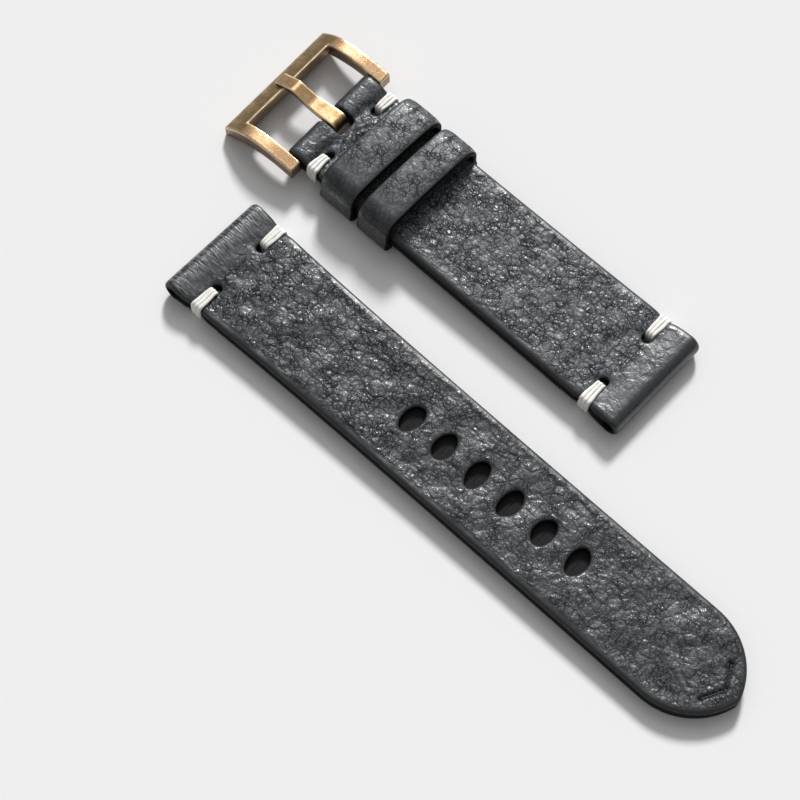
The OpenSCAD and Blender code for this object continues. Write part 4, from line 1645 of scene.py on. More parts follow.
class Buckle:
    """The arched frame and its tongue."""

    CAST_ROUGH = 0.012
    WORN_HIGHLIGHT_W = 0.3
    FRONT_FROM = 9.2
    TONGUE_GAP = 0.07
    TIP_BACK = 1.5
    SECOND_BEND_BACK = 1.9
    WRAP_DEG = 285
    WRAP_FROM_DEG = 375
    BORE_TO_DEG = 49
    WRAP_POINTS = 40

    def __init__(self, sizes: BuckleSizes) -> None:
        """Takes the buckle's sizes."""
        self.sizes = sizes

    def frame_outline(self) -> Array:
        """Works out the frame in plan: two arms joined by the front bar.

        Returns:
            Its outline.
        """
        b = self.sizes
        outer, inner, r = b.inner_w / 2 + b.arm_w, b.inner_w / 2, b.corner_r
        corner = arc(b.reach - r, outer - r, r, 90, 0, 7)
        inside = b.reach - b.front_bar_w
        far = np.concatenate([[[-b.tail, inner], [-b.tail, outer]], corner])
        hollow = np.array([[inside, -inner], [inside, inner]])
        return np.concatenate([far, far[::-1] * (1, -1), hollow])

    def frame(self) -> Mesh:
        """Makes the frame, with a bevel along its edges that carries a painted highlight.

        Returns:
            The frame's mesh.
        """
        b = self.sizes
        u = np.linspace(-b.tail - 1, b.reach + 1, 90)
        run = Run(u, np.stack([u, b.top(u)], axis=1), np.stack([u, b.bottom(u)], axis=1))
        layer = Layer(Pattern(self.frame_outline(), [], 0.25), run, grain_step=0.3,
                      outline_round=(0.2, 0.16), flesh_round=0.25, wall_rows=5)
        return layer.build(self.frame_wear_and_painted_light, None)

    @staticmethod
    def frame_wear_and_painted_light(at: Spots) -> tuple[Array, Array, Array]:
        """Relief of the frame: a cast surface, rubbed bright along its edges, with a painted
        highlight there.

        Args:
            at: places on the frame.

        Returns:
            Heights, bright wear with a painted highlight, and the front bar's darker patina with
            painted shade.
        """
        noise = Noise(51)
        height = Buckle.CAST_ROUGH * noise.rough(at.s, at.y, 1.6) * ease(at.outline / 0.5)
        # painted highlight on the bevelled edges, together with their rubbed wear
        worn = bell(at.outline / Buckle.WORN_HIGHLIGHT_W) * (0.7 + 0.3 * noise.at(at.s, at.y, 0.8))
        # painted shade: the front bar, which slopes away from the overhead light, takes the darker
        # patina colour on top of its real patina
        front = ease((at.s - Buckle.FRONT_FROM) / 0.6)
        return height, worn, front

    def tongue_lines(self) -> tuple[Array, Array, Array]:
        """Side view of the tongue from the wrap round the bar to its tip.

        Returns:
            The stations, the outer points and the inner points.
        """
        b = self.sizes
        edge, tip, gap = b.reach - b.front_bar_w, b.reach - self.TIP_BACK, self.TONGUE_GAP
        second = edge - self.SECOND_BEND_BACK
        rest = float(b.top(np.array(edge + 0.5))) + gap
        rest_tip = float(b.top(np.array(tip))) + gap
        crown = rest + b.tongue_t + 0.2
        upper = np.array([[0, b.tongue_ring_r], [4.2, b.tongue_ring_r + 0.02],
                          [4.7, b.tongue_ring_r + 0.12], [second - 0.3, crown - 0.08],
                          [second + 0.3, crown - 0.03], [tip, rest_tip + b.tongue_t * 0.9]])
        lower = np.array([[0.79, b.tongue_ring_r - b.tongue_t], [4.2, b.tongue_ring_r - 0.96],
                          [4.7, b.tongue_ring_r - 0.9], [second - 0.3, crown - 1.22],
                          [edge + 0.2, rest], [tip, rest_tip]])
        wrapped = b.tongue_ring_r * math.radians(self.WRAP_DEG)
        count = self.WRAP_POINTS
        angle = np.radians(np.linspace(self.WRAP_FROM_DEG, 90, count))
        wrap = np.stack([np.cos(angle), np.sin(angle)], axis=1)
        square = np.where((angle > math.pi / 2) & (angle < math.pi), 3.4, 2.0)[:, None]
        wrap /= np.sum(np.abs(wrap) ** square, axis=1)[:, None] ** (1 / square)
        inner_angle = np.radians(np.linspace(self.WRAP_FROM_DEG, self.BORE_TO_DEG, count))
        bore = np.stack([np.cos(inner_angle), np.sin(inner_angle)], axis=1) * b.tongue_bore_r
        lengths = np.concatenate([[0], np.cumsum(np.linalg.norm(np.diff(upper, axis=0), axis=1))])
        s = np.concatenate([np.linspace(-wrapped, 0, count), lengths[1:]])
        outer = np.concatenate([wrap * b.tongue_ring_r, upper[1:]])
        inner = np.concatenate([bore, lower[1:]])
        return s, outer, inner

    def tongue(self) -> Mesh:
        """Makes the tongue: a flat bar with two bends and a wrap.

        Returns:
            The tongue's mesh.
        """
        b = self.sizes
        s, outer, inner = self.tongue_lines()
        fine = np.linspace(s[0], s[-1], 260)
        run = Run(fine, read_line(fine, s, outer), read_line(fine, s, inner))
        half, tip_half, r = b.tongue_w / 2, b.tongue_tip_w / 2, b.corner_r
        nose = arc(s[-1] - r, tip_half - r, r, 90, 0, 6)
        body_s = np.linspace(s[0], s[-1] - r, 50)[:-1]
        body = np.stack([body_s, half + (tip_half - half) * ease(body_s / 8.0)], axis=1)
        far = np.concatenate([body, nose])
        layer = Layer(Pattern(mirrored(far), [], 0.22), run, grain_step=0.25,
                      outline_round=(0.2, 0.16), flesh_round=0.15, wall_rows=3)
        return layer.build(self.tongue_wear_and_highlight, None)

    @staticmethod
    def tongue_wear_and_highlight(at: Spots) -> tuple[Array, Array, Array]:
        """Relief of the tongue, made as the frame's is, with a painted highlight along its edges.
        """
        noise = Noise(57)
        return (0.008 * noise.rough(at.s, at.y, 1.3), bell(at.outline / 0.22),
                0.65 + 0.25 * noise.at(at.s, at.y, 2.0))


def lathed(line: Array, steps: int = 40) -> Mesh:
    """Turns a closed line round the y axis.

    Args:
        line: radii and places along the axis, in a ring.
        steps: number of steps round the axis.

    Returns:
        The mesh.
    """
    a = np.linspace(0, 2 * math.pi, steps, endpoint=False)
    r, y = line[:, 0], line[:, 1]
    points = np.stack([np.outer(np.cos(a), r), np.tile(y, (steps, 1)), np.outer(np.sin(a), r)], 2)
    return Mesh(points.reshape(-1, 3), ring_faces(steps, len(line))).outward()


class SpringBar:
    """The sprung bar that carries the buckle: a tube, two pins and the spring between them."""

    TURNS = 11
    WIRE = 0.2
    CORE_R = 0.02
    SPRING_END = 7.7

    def __init__(self, sizes: BuckleSizes) -> None:
        """Takes the bar's sizes."""
        self.sizes = sizes

    def tube(self) -> Mesh:
        """Makes the tube with its crimped ends.

        Returns:
            The tube's mesh.
        """
        b = self.sizes
        end, lip = b.tube_len / 2, b.pin_r + b.pin_clear
        half = np.array([[b.bar_r, 0], [b.bar_r, end - 0.35], [b.bar_r - 0.05, end - 0.15],
                         [b.bar_r - 0.16, end - 0.03], [b.bar_r - 0.24, end], [lip, end],
                         [lip, end - b.lip_len], [b.tube_bore_r, end - b.lip_len],
                         [b.tube_bore_r, 0]])
        return lathed(np.concatenate([half, half[1:-1][::-1] * (1, -1)]))

    def pin(self, side: int) -> Mesh:
        """Makes a pin: its head in the tube and its point in the frame's arm.

        Args:
            side: -1 or 1, the side's sign along the bar.

        Returns:
            The pin's mesh.
        """
        b = self.sizes
        head = b.pin_head_y - b.pin_head_len
        line = np.array([[self.CORE_R, head], [b.pin_head_r - 0.06, head],
                         [b.pin_head_r, head + 0.08], [b.pin_head_r, b.pin_head_y - 0.06],
                         [b.pin_head_r - 0.06, b.pin_head_y], [b.pin_r, b.pin_head_y],
                         [b.pin_r, b.pin_tip_y - 0.14], [b.pin_r - 0.14, b.pin_tip_y],
                         [self.CORE_R, b.pin_tip_y]])
        return lathed(line * (1, side))

    def spring(self, side: int) -> Mesh:
        """Makes half the spring, from the bar's middle to one pin's head.

        Args:
            side: -1 or 1, the side's sign along the bar.

        Returns:
            The coil's mesh.
        """
        b, wire = self.sizes, self.WIRE
        length = b.pin_head_y - b.pin_head_len - 0.06 - wire / 2
        t = np.linspace(0, 1, self.TURNS * 20)
        a = 2 * math.pi * self.TURNS * t
        r = b.pin_head_r - wire / 2 - 0.01
        path = np.stack([r * np.cos(a), side * (0.02 + wire / 2 + (length - wire / 2) * t),
                         r * np.sin(a)], axis=1)
        wide = np.stack([np.cos(a), np.zeros(len(a)), np.sin(a)], axis=1)
        scales = np.full((len(path), 2), wire)
        coil = swept(path, wide, strand_section(1, 0.0, 2.0, 8), scales, closed=False)
        return Mesh(coil.points, coil.faces)


class Graph:
    """A node tree, written one node at a time."""

    def __init__(self, tree: bpy.types.NodeTree) -> None:
        """Takes the tree and empties it."""
        self.tree = tree
        tree.nodes.clear()

    def put(self, socket: Socket, value: Input) -> None:
        """Gives an input a value or a link.

        Args:
            socket: the input.
            value: a number, a colour, a vector or another node's output.
        """
        if isinstance(value, bpy.types.NodeSocket):
            self.tree.links.new(value, socket)
        elif socket.type == "RGBA":
            socket.default_value = (*value, 1.0)
        else:
            socket.default_value = value

    def node(self, kind: str, inputs: dict | None = None, **settings: str) -> bpy.types.Node:
        """Adds a node.

        Args:
            kind: the node's type.
            inputs: what to put in each named or numbered input.
            settings: the node's own settings.

        Returns:
            The node.
        """
        new = self.tree.nodes.new(kind)
        for key, value in settings.items():
            setattr(new, key, value)
        for key, value in (inputs or {}).items():
            self.put(new.inputs[key], value)
        return new

    def value(self, name: str) -> Socket:
        """A number stored at the mesh's points."""
        return self.node("ShaderNodeAttribute", attribute_name=name).outputs["Fac"]

    def vector(self, name: str, scale: Colour = (1.0, 1.0, 1.0)) -> Socket:
        """A vector stored at the mesh's points, scaled."""
        stored = self.node("ShaderNodeAttribute", attribute_name=name).outputs["Vector"]
        return self.combine("MULTIPLY", stored, scale)

    def noise(self, at: Socket, scale: float, detail: float = 3.0, roughness: float = 0.55,
              output: str = "Fac") -> Socket:
        """Noise from 0 to 1, as a number or as a colour."""
        inputs = {"Vector": at, "Scale": scale, "Detail": detail, "Roughness": roughness}
        return self.node("ShaderNodeTexNoise", inputs).outputs[output]

    def cells(self, at: Socket, scale: float, feature: str = "F1") -> bpy.types.Node:
        """A mosaic of cells."""
        inputs = {"Vector": at, "Scale": scale, "Randomness": 0.95}
        return self.node("ShaderNodeTexVoronoi", inputs, feature=feature)

    def walls(self, at: Socket, scale: float) -> Socket:
        """Distance from the walls of a mosaic of cells."""
        return self.cells(at, scale, "DISTANCE_TO_EDGE").outputs["Distance"]

    def facets(self, at: Socket, scale: float, slope: float) -> Socket:
        """Heights of the same mosaic's cells, each a plane that leans its own way.

        Args:
            at: places.
            scale: number of cells in a unit of length.
            slope: how strongly the planes lean.

        Returns:
            The heights.
        """
        cell = self.cells(at, scale)
        random = self.combine("SUBTRACT", cell.outputs["Color"], (0.5,) * 3)
        lean = self.combine("MULTIPLY", random, (slope,) * 3)
        away = self.combine("SUBTRACT", at, cell.outputs["Position"])
        return self.combine("DOT_PRODUCT", away, lean, "Value")

    def combine(self, kind: str, a: Input, b: Input, output: str = "Vector") -> Socket:
        """One step between two vectors."""
        return self.node("ShaderNodeVectorMath", {0: a, 1: b}, operation=kind).outputs[output]

    def sum(self, kind: str, a: Input, b: Input) -> Socket:
        """One arithmetic step between two values."""
        return self.node("ShaderNodeMath", {0: a, 1: b}, operation=kind).outputs[0]

    def times(self, a: Input, b: Input) -> Socket:
        """The product of two values."""
        return self.sum("MULTIPLY", a, b)

    def plus(self, a: Input, b: Input) -> Socket:
        """The sum of two values."""
        return self.sum("ADD", a, b)

    def ranged(self, value: Socket, a: float, b: float, low: float, high: float) -> Socket:
        """Maps a value from one range to another, held at the ends."""
        inputs = {"Value": value, "From Min": a, "From Max": b, "To Min": low, "To Max": high}
        return self.node("ShaderNodeMapRange", inputs, interpolation_type="SMOOTHSTEP").outputs[0]

    def mix(self, part: Input, first: Input, second: Input) -> Socket:
        """Mixes two colours."""
        inputs = {0: part, 6: first, 7: second}
        return self.node("ShaderNodeMix", inputs, data_type="RGBA").outputs[2]

    def bump(self, height: Socket, distance: float) -> Socket:
        """A surface direction from a height in metres."""
        inputs = {"Height": height, "Distance": distance, "Strength": 1.0}
        return self.node("ShaderNodeBump", inputs).outputs["Normal"]


class MaterialGraph(Graph):
    """The node tree of a new material, round its Principled shader."""

    def __init__(self, name: str) -> None:
        """Makes the material and its shader.

        Args:
            name: the material's name.
        """
        self.material = bpy.data.materials.new(name)
        self.material.use_nodes = True
        super().__init__(self.material.node_tree)
        self.shader = self.node("ShaderNodeBsdfPrincipled")
        self.node("ShaderNodeOutputMaterial", {"Surface": self.shader.outputs[0]})

    def shade(self, **inputs: Input) -> bpy.types.Material:
        """Sets the shader's inputs.

        Args:
            inputs: what to put in each input, with _ for the spaces of its name.

        Returns:
            The material.
        """
        for key, value in inputs.items():
            self.put(self.shader.inputs[key.replace("_", " ")], value)
        return self.material


@dataclass(frozen=True)
class Facets:
    """One size of the leather's facets and of the fine dark lines between them."""

    size: float
    line_w: float
    dark: float
    dome: float
    lean: float
    least: float = 0.5
    fades: bool = True


@dataclass(frozen=True)
class LeatherFinish:
    """Black full-grain leather with a waxy sheen; its colour also carries painted glints,
    highlights and shade.
    """

    name: str = "black_leather"
    top: Colour = linear("393c40")
    # pale: colour of the painted glints and of the lug end's painted highlights
    pale: Colour = linear("757b80")
    # smooth: colour of burnished leather, also used as painted shade on near edges and keeper sides
    smooth: Colour = linear("1d1f21")
    crease: Colour = linear("040405")
    cut_edge: Colour = linear("0f1011")
    roughness: float = 0.28
    relief: float = 1.0
    # striped_end and stripes: reach and strength of the lug end's streaks, with their painted
    # highlight and shade
    striped_end: float = 5.5
    stripes: float = 1.0
    fine_from: float = 200.0
    fine_run: float = 25.0
    facets: tuple[Facets, ...] = (Facets(1.7, 0.08, 1.0, 0.05, 0.15, least=0.75),
                                  Facets(0.8, 0.15, 1.0, 0.018, 0.13),
                                  Facets(0.4, 0.22, 0.75, 0.008, 0.09, fades=False))
    warps: tuple[tuple[float, float, float], ...] = ((0.9, 2.0, 0.62), (2.6, 1.0, 0.2))

    def grain(self, g: Graph, at: Socket, along: Socket) -> tuple[Socket, Socket]:
        """Builds the grain: facets that each tilt their own way, between dark lines.

        Args:
            g: the material's graph.
            at: places on the leather.
            along: how far they lie along it.

        Returns:
            The lines' strength and the grain's height.
        """
        moved, patch = at, g.noise(at, 0.3)
        for scale, detail, reach in self.warps:
            drift = g.noise(at, scale, detail, 0.5, "Color")
            moved = g.combine("ADD", moved, g.combine("MULTIPLY", drift, (reach,) * 3))
        coarse = g.ranged(along, self.fine_from, self.fine_from + self.fine_run, 0.95, 0.86)
        lines, height = g.value("crease"), g.times(g.noise(at, 0.6, 4.0, 0.5), 0.12)
        for facet in self.facets:
            wall = g.walls(moved, 1 / facet.size)
            line = g.ranged(wall, facet.line_w * 0.25, facet.line_w, facet.dark, 0.0)
            line = g.times(line, g.ranged(patch, 0.35, 0.62, facet.least, 1.0))
            lines = g.sum("MAXIMUM", lines, g.times(line, coarse) if facet.fades else line)
            dome = g.sum("POWER", g.ranged(wall, 0.0, 0.3, 0.0, 1.0), 0.6)
            swell = g.plus(g.facets(moved, 1 / facet.size, facet.lean), facet.dome)
            height = g.plus(height, g.times(dome, swell))
        return lines, height

    def material(self) -> bpy.types.Material:
        """Builds the material from the grain, the burnished places, the painted glints, highlights
        and shade, and the cut edges.

        Returns:
            The material.
        """
        g = MaterialGraph(self.name)
        at, burnish, cut = g.vector("sheet"), g.value("burnish"), g.value("cut")
        along = g.node("ShaderNodeSeparateXYZ", {0: at}).outputs["X"]
        lines, height = self.grain(g, at, along)
        grainy = g.ranged(burnish, 0.2, 1.0, 1.0, 0.1)
        end = g.ranged(along, 0.5, self.striped_end, self.stripes, 0.0)
        stripes = g.noise(g.vector("sheet", (0.3, 2.2, 1.0)), 1.6, 3.0, 0.6)
        # painted highlight: pale glints mixed into the top colour
        glint = g.ranged(g.noise(at, 2.3, 3.0, 0.6), 0.45, 0.65, 0.1, 0.65)
        top = g.mix(g.times(glint, grainy), self.top, self.pale)
        # burnished leather and painted shade both take the darker smooth colour here
        top = g.mix(g.ranged(burnish, 0.3, 1.0, 0.0, 0.8), top, self.smooth)
        # painted highlight: pale streaks along the lug end's wrinkles
        painted_wrinkle_highlight = g.times(g.ranged(stripes, 0.5, 0.6, 0.0, 0.7), end)
        top = g.mix(painted_wrinkle_highlight, top, self.pale)
        # painted shade: dark streaks between them
        painted_wrinkle_shade = g.times(g.ranged(stripes, 0.36, 0.46, 0.8, 0.0), end)
        dark = g.sum("MAXIMUM", g.times(lines, grainy), painted_wrinkle_shade)
        colour = g.mix(g.times(dark, 0.95), top, self.crease)
        colour = g.mix(g.times(cut, 0.9), colour, self.cut_edge)
        shine = g.ranged(g.noise(at, 1.1), 0.3, 0.7, self.roughness - 0.05, self.roughness + 0.1)
        rough = g.plus(shine, g.times(dark, 0.35))
        rough = g.plus(rough, g.times(cut, 0.25))
        height = g.times(g.times(height, grainy), self.relief)
        height = g.plus(height, g.times(g.times(stripes, end), 0.08))
        level = g.sum("SUBTRACT", 1.0, g.times(g.sum("MAXIMUM", dark, cut), 0.9))
        return g.shade(Base_Color=colour, Roughness=rough, Specular_IOR_Level=level,
                       Normal=g.bump(height, MM))


@dataclass(frozen=True)
class LiningFinish:
    """The lining's smooth dark leather."""

    name: str = "lining_leather"
    top: Colour = linear("2b2c2e")
    worn: Colour = linear("3b3b3c")
    # painted shade: the darker flesh side and cut walls, seen at the bottom of the adjusting holes
    inner: Colour = linear("232325")

    def material(self) -> bpy.types.Material:
        """Builds the material.

        Returns:
            The material.
        """
        g = MaterialGraph(self.name)
        at = g.vector("sheet")
        spots = g.noise(at, 2.2, 5.0, 0.65)
        pores = g.ranged(g.walls(at, 3.4), 0.0, 0.12, 0.0, 1.0)
        colour = g.mix(g.ranged(spots, 0.35, 0.7, 0.0, 1.0), self.top, self.worn)
        colour = g.mix(g.value("cut"), colour, self.inner)
        height = g.plus(g.times(pores, 0.4), g.noise(at, 7.0, 4.0))
        return g.shade(Base_Color=colour, Roughness=g.ranged(spots, 0.3, 0.7, 0.6, 0.76),
                       Specular_IOR_Level=g.ranged(g.value("cut"), 0.0, 1.0, 0.35, 0.12),
                       Normal=g.bump(height, 0.00002))


@dataclass(frozen=True)
class ThreadFinish:
    """Waxed thread with fibres along it."""

    name: str
    colour: Colour
    groove: Colour
    roughness: float

    def material(self) -> bpy.types.Material:
        """Builds the material.

        Returns:
            The material.
        """
        g = MaterialGraph(self.name)
        at = g.vector("thread", (2.2, 2.2, 0.5))
        fibres = g.noise(at, 3.0, 3.0, 0.6)
        smear = g.noise(g.vector("thread", (0.6, 0.6, 1.2)), 1.5)
        tone = g.plus(g.times(fibres, 0.75), g.times(smear, 0.25))
        colour = g.mix(g.ranged(tone, 0.36, 0.56, 0.0, 1.0), self.groove, self.colour)
        return g.shade(Base_Color=colour, Roughness=g.ranged(fibres, 0.3, 0.7,
                                                             self.roughness + 0.1, self.roughness),
                       Specular_IOR_Level=0.4, Normal=g.bump(fibres, 0.00003))


@dataclass(frozen=True)
class BrassFinish:
    """Aged brass: brighter along its rubbed edges, with a painted highlight there, and darker and
    browner where it is not rubbed, with painted shade on the front bar and the side walls.
    """

    name: str = "aged_brass"
    bright: Colour = linear("f4e0bd")
    plain: Colour = linear("cba681")
    patina: Colour = linear("7d6c45")
    side: Colour = linear("8b7461")
    spot: Colour = linear("a5805f")

    def material(self) -> bpy.types.Material:
        """Builds the material.

        Returns:
            The material.
        """
        g = MaterialGraph(self.name)
        at = g.vector("sheet")
        worn, front, cut = g.value("crease"), g.value("burnish"), g.value("cut")
        cloud = g.noise(at, 0.55, 5.0, 0.62)
        brushed = g.noise(g.vector("sheet", (0.6, 6.0, 1.0)), 2.2, 3.0)
        # patina from the cloud noise, with painted shade added on the front bar
        patina_and_shade = g.plus(g.times(front, 0.6), g.ranged(cloud, 0.35, 0.7, -0.1, 0.5))
        sand = g.noise(at, 4.5, 3.0, 0.7)
        colour = g.mix(g.ranged(patina_and_shade, 0.0, 1.0, 0.0, 1.0), self.plain, self.patina)
        colour = g.mix(g.ranged(sand, 0.46, 0.62, 0.0, 0.55), colour, self.spot)
        # painted highlight: the bright colour along the edges, together with their rubbed wear
        colour = g.mix(g.times(worn, 0.85), colour, self.bright)
        # painted shade: the side walls take the darker grey-brown side colour
        colour = g.mix(g.ranged(cut, 0.82, 1.0, 0.0, 0.9), colour, self.side)
        rough = g.plus(g.ranged(cloud, 0.3, 0.7, 0.24, 0.38), g.times(front, 0.08))
        height = g.plus(g.times(brushed, 0.6), g.times(sand, 0.8))
        return g.shade(Base_Color=colour, Metallic=1.0, Roughness=rough,
                       Normal=g.bump(height, 0.00003))


@dataclass(frozen=True)
class SteelFinish:
    """Plain turned steel."""

    name: str
    colour: Colour
    roughness: float

    def material(self) -> bpy.types.Material:
        """Builds the material.

        Returns:
            The material.
        """
        g = MaterialGraph(self.name)
        place = g.node("ShaderNodeTexCoord").outputs["Object"]
        lines = g.noise(place, 9000.0, 2.0)
        marks = g.noise(place, 1500.0, 3.0)
        darker = tuple(c * 0.72 for c in self.colour)
        colour = g.mix(g.ranged(marks, 0.35, 0.7, 0.0, 1.0), self.colour, darker)
        rough = g.ranged(marks, 0.3, 0.7, self.roughness, self.roughness + 0.12)
        return g.shade(Base_Color=colour, Metallic=1.0, Roughness=rough,
                       Normal=g.bump(lines, 0.000004))


@dataclass(frozen=True)
class Studio:
    """The pale floor, the soft light from the photograph's upper side and the camera."""

    target_mm: tuple[float, float, float] = (-7.17, -14.09, 0.0)
    distance_mm: float = 315.4
    azimuth: float = 43.339
    elevation: float = 66.20
    focal_mm: float = 91.67
    background: Colour = linear("eeeeee")
    lamp_azimuth: float = 214.0
    lamp_elevation: float = 35.0
    lamp_size: float = 11.0
    lamp_strength: float = 3.38
    horizon: float = 0.1
    zenith: float = 0.31
    glow: float = 1.9
    glow_azimuth: float = 219.0
    glow_elevation: float = 48.0
    glow_power: float = 20.0
    floor_size: float = 3.0

    def direction(self, azimuth: float, elevation: float) -> Vector:
        """Direction from the object towards a place in the studio."""
        a, e = math.radians(azimuth), math.radians(elevation)
        return Vector((math.sin(a) * math.cos(e), -math.cos(a) * math.cos(e), math.sin(e)))

    def build_camera(self) -> None:
        """Makes the scene's camera."""
        data = bpy.data.cameras.new("camera")
        data.sensor_width = 36.0
        data.lens = self.focal_mm
        data.clip_start = 0.01
        camera = bpy.data.objects.new("camera", data)
        back = self.direction(self.azimuth, self.elevation)
        camera.location = (Vector(self.target_mm) + back * self.distance_mm) * MM
        camera.rotation_euler = back.to_track_quat("Z", "Y").to_euler()
        bpy.context.scene.collection.objects.link(camera)
        bpy.context.scene.camera = camera

    def build_floor(self) -> None:
        """Makes the pale floor that keeps the object's shadow."""
        half = self.floor_size / 2
        corners = [(-half, -half, 0), (half, -half, 0), (half, half, 0), (-half, half, 0)]
        data = bpy.data.meshes.new("floor")
        data.from_pydata(corners, [], [(0, 1, 2, 3)])
        g = MaterialGraph("pale_floor")
        place = g.node("ShaderNodeTexCoord").outputs["Object"]
        speck = g.ranged(g.noise(place, 900.0, 2.0), 0.4, 0.6, 0.0, 1.0)
        darker = tuple(c * 0.994 for c in self.background)
        data.materials.append(g.shade(Base_Color=g.mix(speck, self.background, darker),
                                      Roughness=0.9, Specular_IOR_Level=0.0))
        floor = bpy.data.objects.new("floor", data)
        floor.location.z = -0.00002
        bpy.context.scene.collection.objects.link(floor)

    def build_light(self) -> None:
        """Makes the key light and the soft sky."""
        data = bpy.data.lights.new("key", "SUN")
        data.angle = math.radians(self.lamp_size)
        data.energy = self.lamp_strength
        lamp = bpy.data.objects.new("key", data)
        from_lamp = self.direction(self.lamp_azimuth, self.lamp_elevation)
        lamp.rotation_euler = from_lamp.to_track_quat("Z", "Y").to_euler()
        bpy.context.scene.collection.objects.link(lamp)
        self.build_sky()

    def build_sky(self) -> None:
        """Makes the soft sky: darker at the horizon, with a glow above the key light."""
        world = bpy.data.worlds.new("studio")
        bpy.context.scene.world = world
        world.use_nodes = True
        g = Graph(world.node_tree)
        direction = g.node("ShaderNodeTexCoord").outputs["Generated"]
        height = g.node("ShaderNodeSeparateXYZ", {0: direction}).outputs["Z"]
        lamp = tuple(self.direction(self.glow_azimuth, self.glow_elevation))
        toward = g.combine("DOT_PRODUCT", direction, lamp, "Value")
        facing = g.sum("MAXIMUM", toward, 0.0)
        glow = g.times(g.sum("POWER", facing, self.glow_power), self.glow)
        level = g.plus(g.ranged(height, 0.0, 0.8, self.horizon, self.zenith), glow)
        sky = g.node("ShaderNodeBackground", {"Color": (1.0, 1.0, 1.0), "Strength": level})
        shown = g.node("ShaderNodeBackground", {"Color": self.background})
        camera = g.node("ShaderNodeLightPath").outputs["Is Camera Ray"]
        mix = g.node("ShaderNodeMixShader", {0: camera, 1: sky.outputs[0], 2: shown.outputs[0]})
        g.node("ShaderNodeOutputWorld", {"Surface": mix.outputs[0]})

    def build(self) -> None:
        """Makes the whole studio."""
        bpy.context.scene.view_settings.view_transform = "Standard"
        self.build_camera()
        self.build_floor()
        self.build_light()


@dataclass(frozen=True)
class Finish:
    """A material and the record's slot that it fills."""

    slot: str
    material: bpy.types.Material


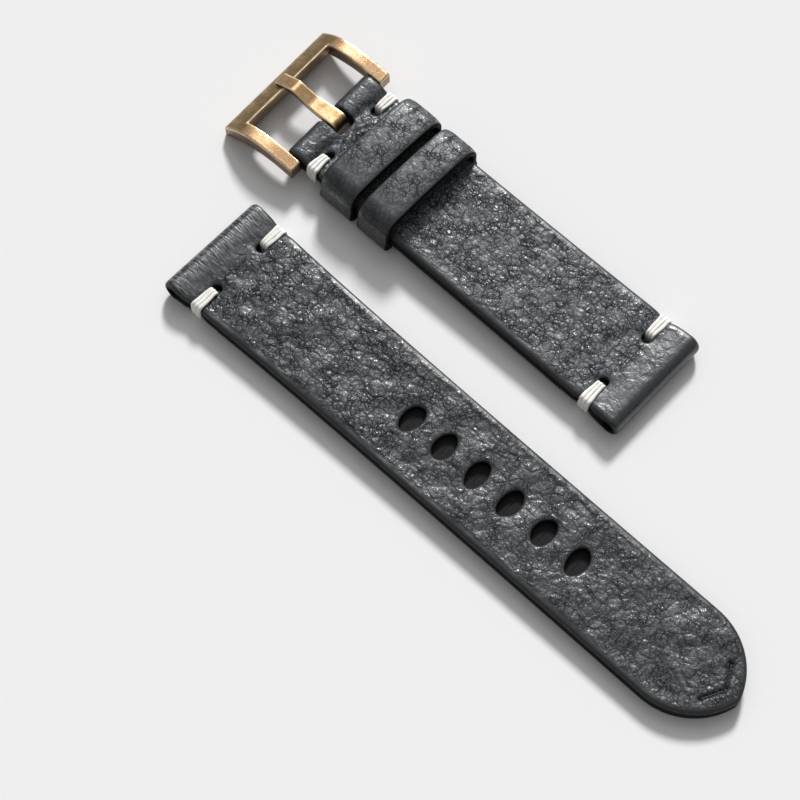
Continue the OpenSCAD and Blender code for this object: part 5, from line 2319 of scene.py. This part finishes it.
class Strap:
    """The whole pair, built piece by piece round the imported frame."""

    def __init__(self) -> None:
        """Reads the frame and makes the materials."""
        self.leather, self.sizes = Leather(), BuckleSizes()
        self.lay = Lay(self.leather, self.sizes)
        long_leather = LeatherFinish(fine_from=35.0)
        # painted light: the short piece uses a lighter copy of the same black leather, with
        # brighter top and glint colours for its stronger sheen
        short_leather_lit = LeatherFinish(name="folded_leather_lit", top=linear("484c51"),
                                      pale=linear("92999f"), stripes=0.0)
        # keeper leather: a near-black smooth colour for the painted shade of the lower and near
        # sides, and a paler glint colour for the painted highlight on the far side
        keeper_leather = LeatherFinish(name="keeper_leather", pale=linear("8c9298"),
                                       smooth=linear("0f1012"), roughness=0.27, relief=0.24,
                                       stripes=0.0)
        self.black = Finish("upper_leather", long_leather.material())
        self.folded_black_lit = Finish("upper_leather", short_leather_lit.material())
        self.keeper_black = Finish("keeper_leather", keeper_leather.material())
        self.lining = Finish("lining_leather", LiningFinish().material())
        white = ThreadFinish("white_thread", linear("fbfaf5"), linear("dbd8cf"), 0.45)
        dark = ThreadFinish("dark_thread", linear("2a2a2c"), linear("121214"), 0.5)
        self.white = Finish("white_thread", white.material())
        self.dark = Finish("dark_thread", dark.material())
        self.brass = Finish("buckle_brass", BrassFinish().material())
        bar_steel = SteelFinish("bar_steel", linear("b9babd"), 0.26)
        spring_steel = SteelFinish("spring_steel", linear("8f9094"), 0.34)
        self.steel = Finish("bar_steel", bar_steel.material())
        self.spring_steel = Finish("spring_steel", spring_steel.material())

    @staticmethod
    def add(name: str, node: str, mesh: Mesh, place: Matrix, finish: Finish,
            body: str = "strap", rides: bool = True) -> bpy.types.Object:
        """Adds the visible piece of one CAD node."""
        return add_piece(Piece(name, body, finish.slot, (node,)), mesh, place, finish.material,
                         rides)

    def build_long(self) -> None:
        """Builds the long piece with its stitches."""
        piece, place = LongPiece(self.leather), self.lay.long
        upper, lining = piece.layers()
        self.add("long_upper_leather", "long_upper", upper, place, self.black)
        self.add("long_lining_leather", "long_lining", lining, place, self.lining)
        half = float(piece.half_width(np.array(piece.lug_stitch.x)))
        thick = float(piece.lug.height(np.array(piece.lug_stitch.x)))
        for side in Side:
            bunch = SideStitches(piece.lug_stitch, half, thick, 11 + side.value)
            self.add(f"long_lug_thread_{side.label}", f"long_lug_stitch_{side.label}",
                     bunch.build(side.value), place, self.white)
            self.add(f"tip_thread_{side.label}", f"tip_stitch_{side.label}",
                     TipStitch(self.leather).build(side.value), place, self.dark)

    def build_short(self) -> None:
        """Builds the short piece with its stitches."""
        piece, place = ShortPiece(self.leather, self.lay.yaw), self.lay.short
        upper, lining = piece.layers()
        self.add("short_upper_leather", "short_upper", upper, place, self.folded_black_lit)
        self.add("short_lining_leather", "short_lining", lining, place, self.lining)
        lug_thick = float(piece.lug.height(np.array(piece.lug_stitch.x)))
        for stitch, thick, label, node in (
                (piece.lug_stitch, lug_thick, "short_lug", "short_lug"),
                (piece.bar_stitch, self.leather.half_t, "buckle_end", "buckle")):
            half = float(piece.half_width(np.array(stitch.x)))
            for side in Side:
                bunch = SideStitches(stitch, half, thick, 21 + side.value)
                self.add(f"{label}_thread_{side.label}", f"{node}_stitch_{side.label}",
                         bunch.build(-side.value), place, self.white)

    def build_keepers(self) -> None:
        """Builds both keepers and the stitches under the floating one."""
        half_t, place = self.leather.half_t, self.lay.short
        fixed = KeeperSizes(x=53.5, width=7.0, drop=self.leather.glue_t)
        floating = KeeperSizes(x=45.8, width=6.5, drop=0.12)
        self.add("fixed_keeper_band", "fixed_keeper", Keeper(fixed, half_t, 61).build(), place,
                 self.keeper_black)
        self.add("floating_keeper_band", "floating_keeper", Keeper(floating, half_t, 67).build(),
                 place, self.keeper_black, body="floating_keeper")
        for side in Side:
            self.add(f"keeper_thread_{side.label}", f"keeper_stitch_{side.label}",
                     KeeperStitch().build(floating, half_t, -side.value), place, self.dark,
                     body="floating_keeper")

    def build_buckle(self) -> None:
        """Builds the frame and the tongue."""
        buckle, place = Buckle(self.sizes), self.lay.buckle
        self.add("brass_frame", "buckle_frame", buckle.frame(), place, self.brass,
                 body="buckle_frame")
        self.add("brass_tongue", "buckle_tongue", buckle.tongue(), place, self.brass,
                 body="buckle_tongue")

    def build_bar(self) -> None:
        """Builds the spring bar."""
        bar, axis = SpringBar(self.sizes), self.lay.bar
        self.add("bar_tube_steel", "bar_tube", bar.tube(), axis, self.steel)
        for side in Side:
            name = side.label
            self.add(f"bar_pin_{name}_steel", f"bar_pin_{name}", bar.pin(-side.value), axis,
                     self.steel, body=f"pin_{name}")
            coil = self.add(f"bar_spring_{name}", "bar_spring", bar.spring(-side.value), axis,
                            self.spring_steel, rides=False)
            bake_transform(coil)

    def build(self) -> None:
        """Builds every sub-assembly in turn."""
        for step in (self.build_long, self.build_short, self.build_keepers, self.build_buckle,
                     self.build_bar):
            step()
            log.info("%s done", step.__name__)


def main() -> None:
    """Builds the studio and the strap."""
    logging.basicConfig(level=logging.INFO, format="%(name)s: %(message)s")
    Studio().build()
    Strap().build()


if __name__ == "__main__":
    main()
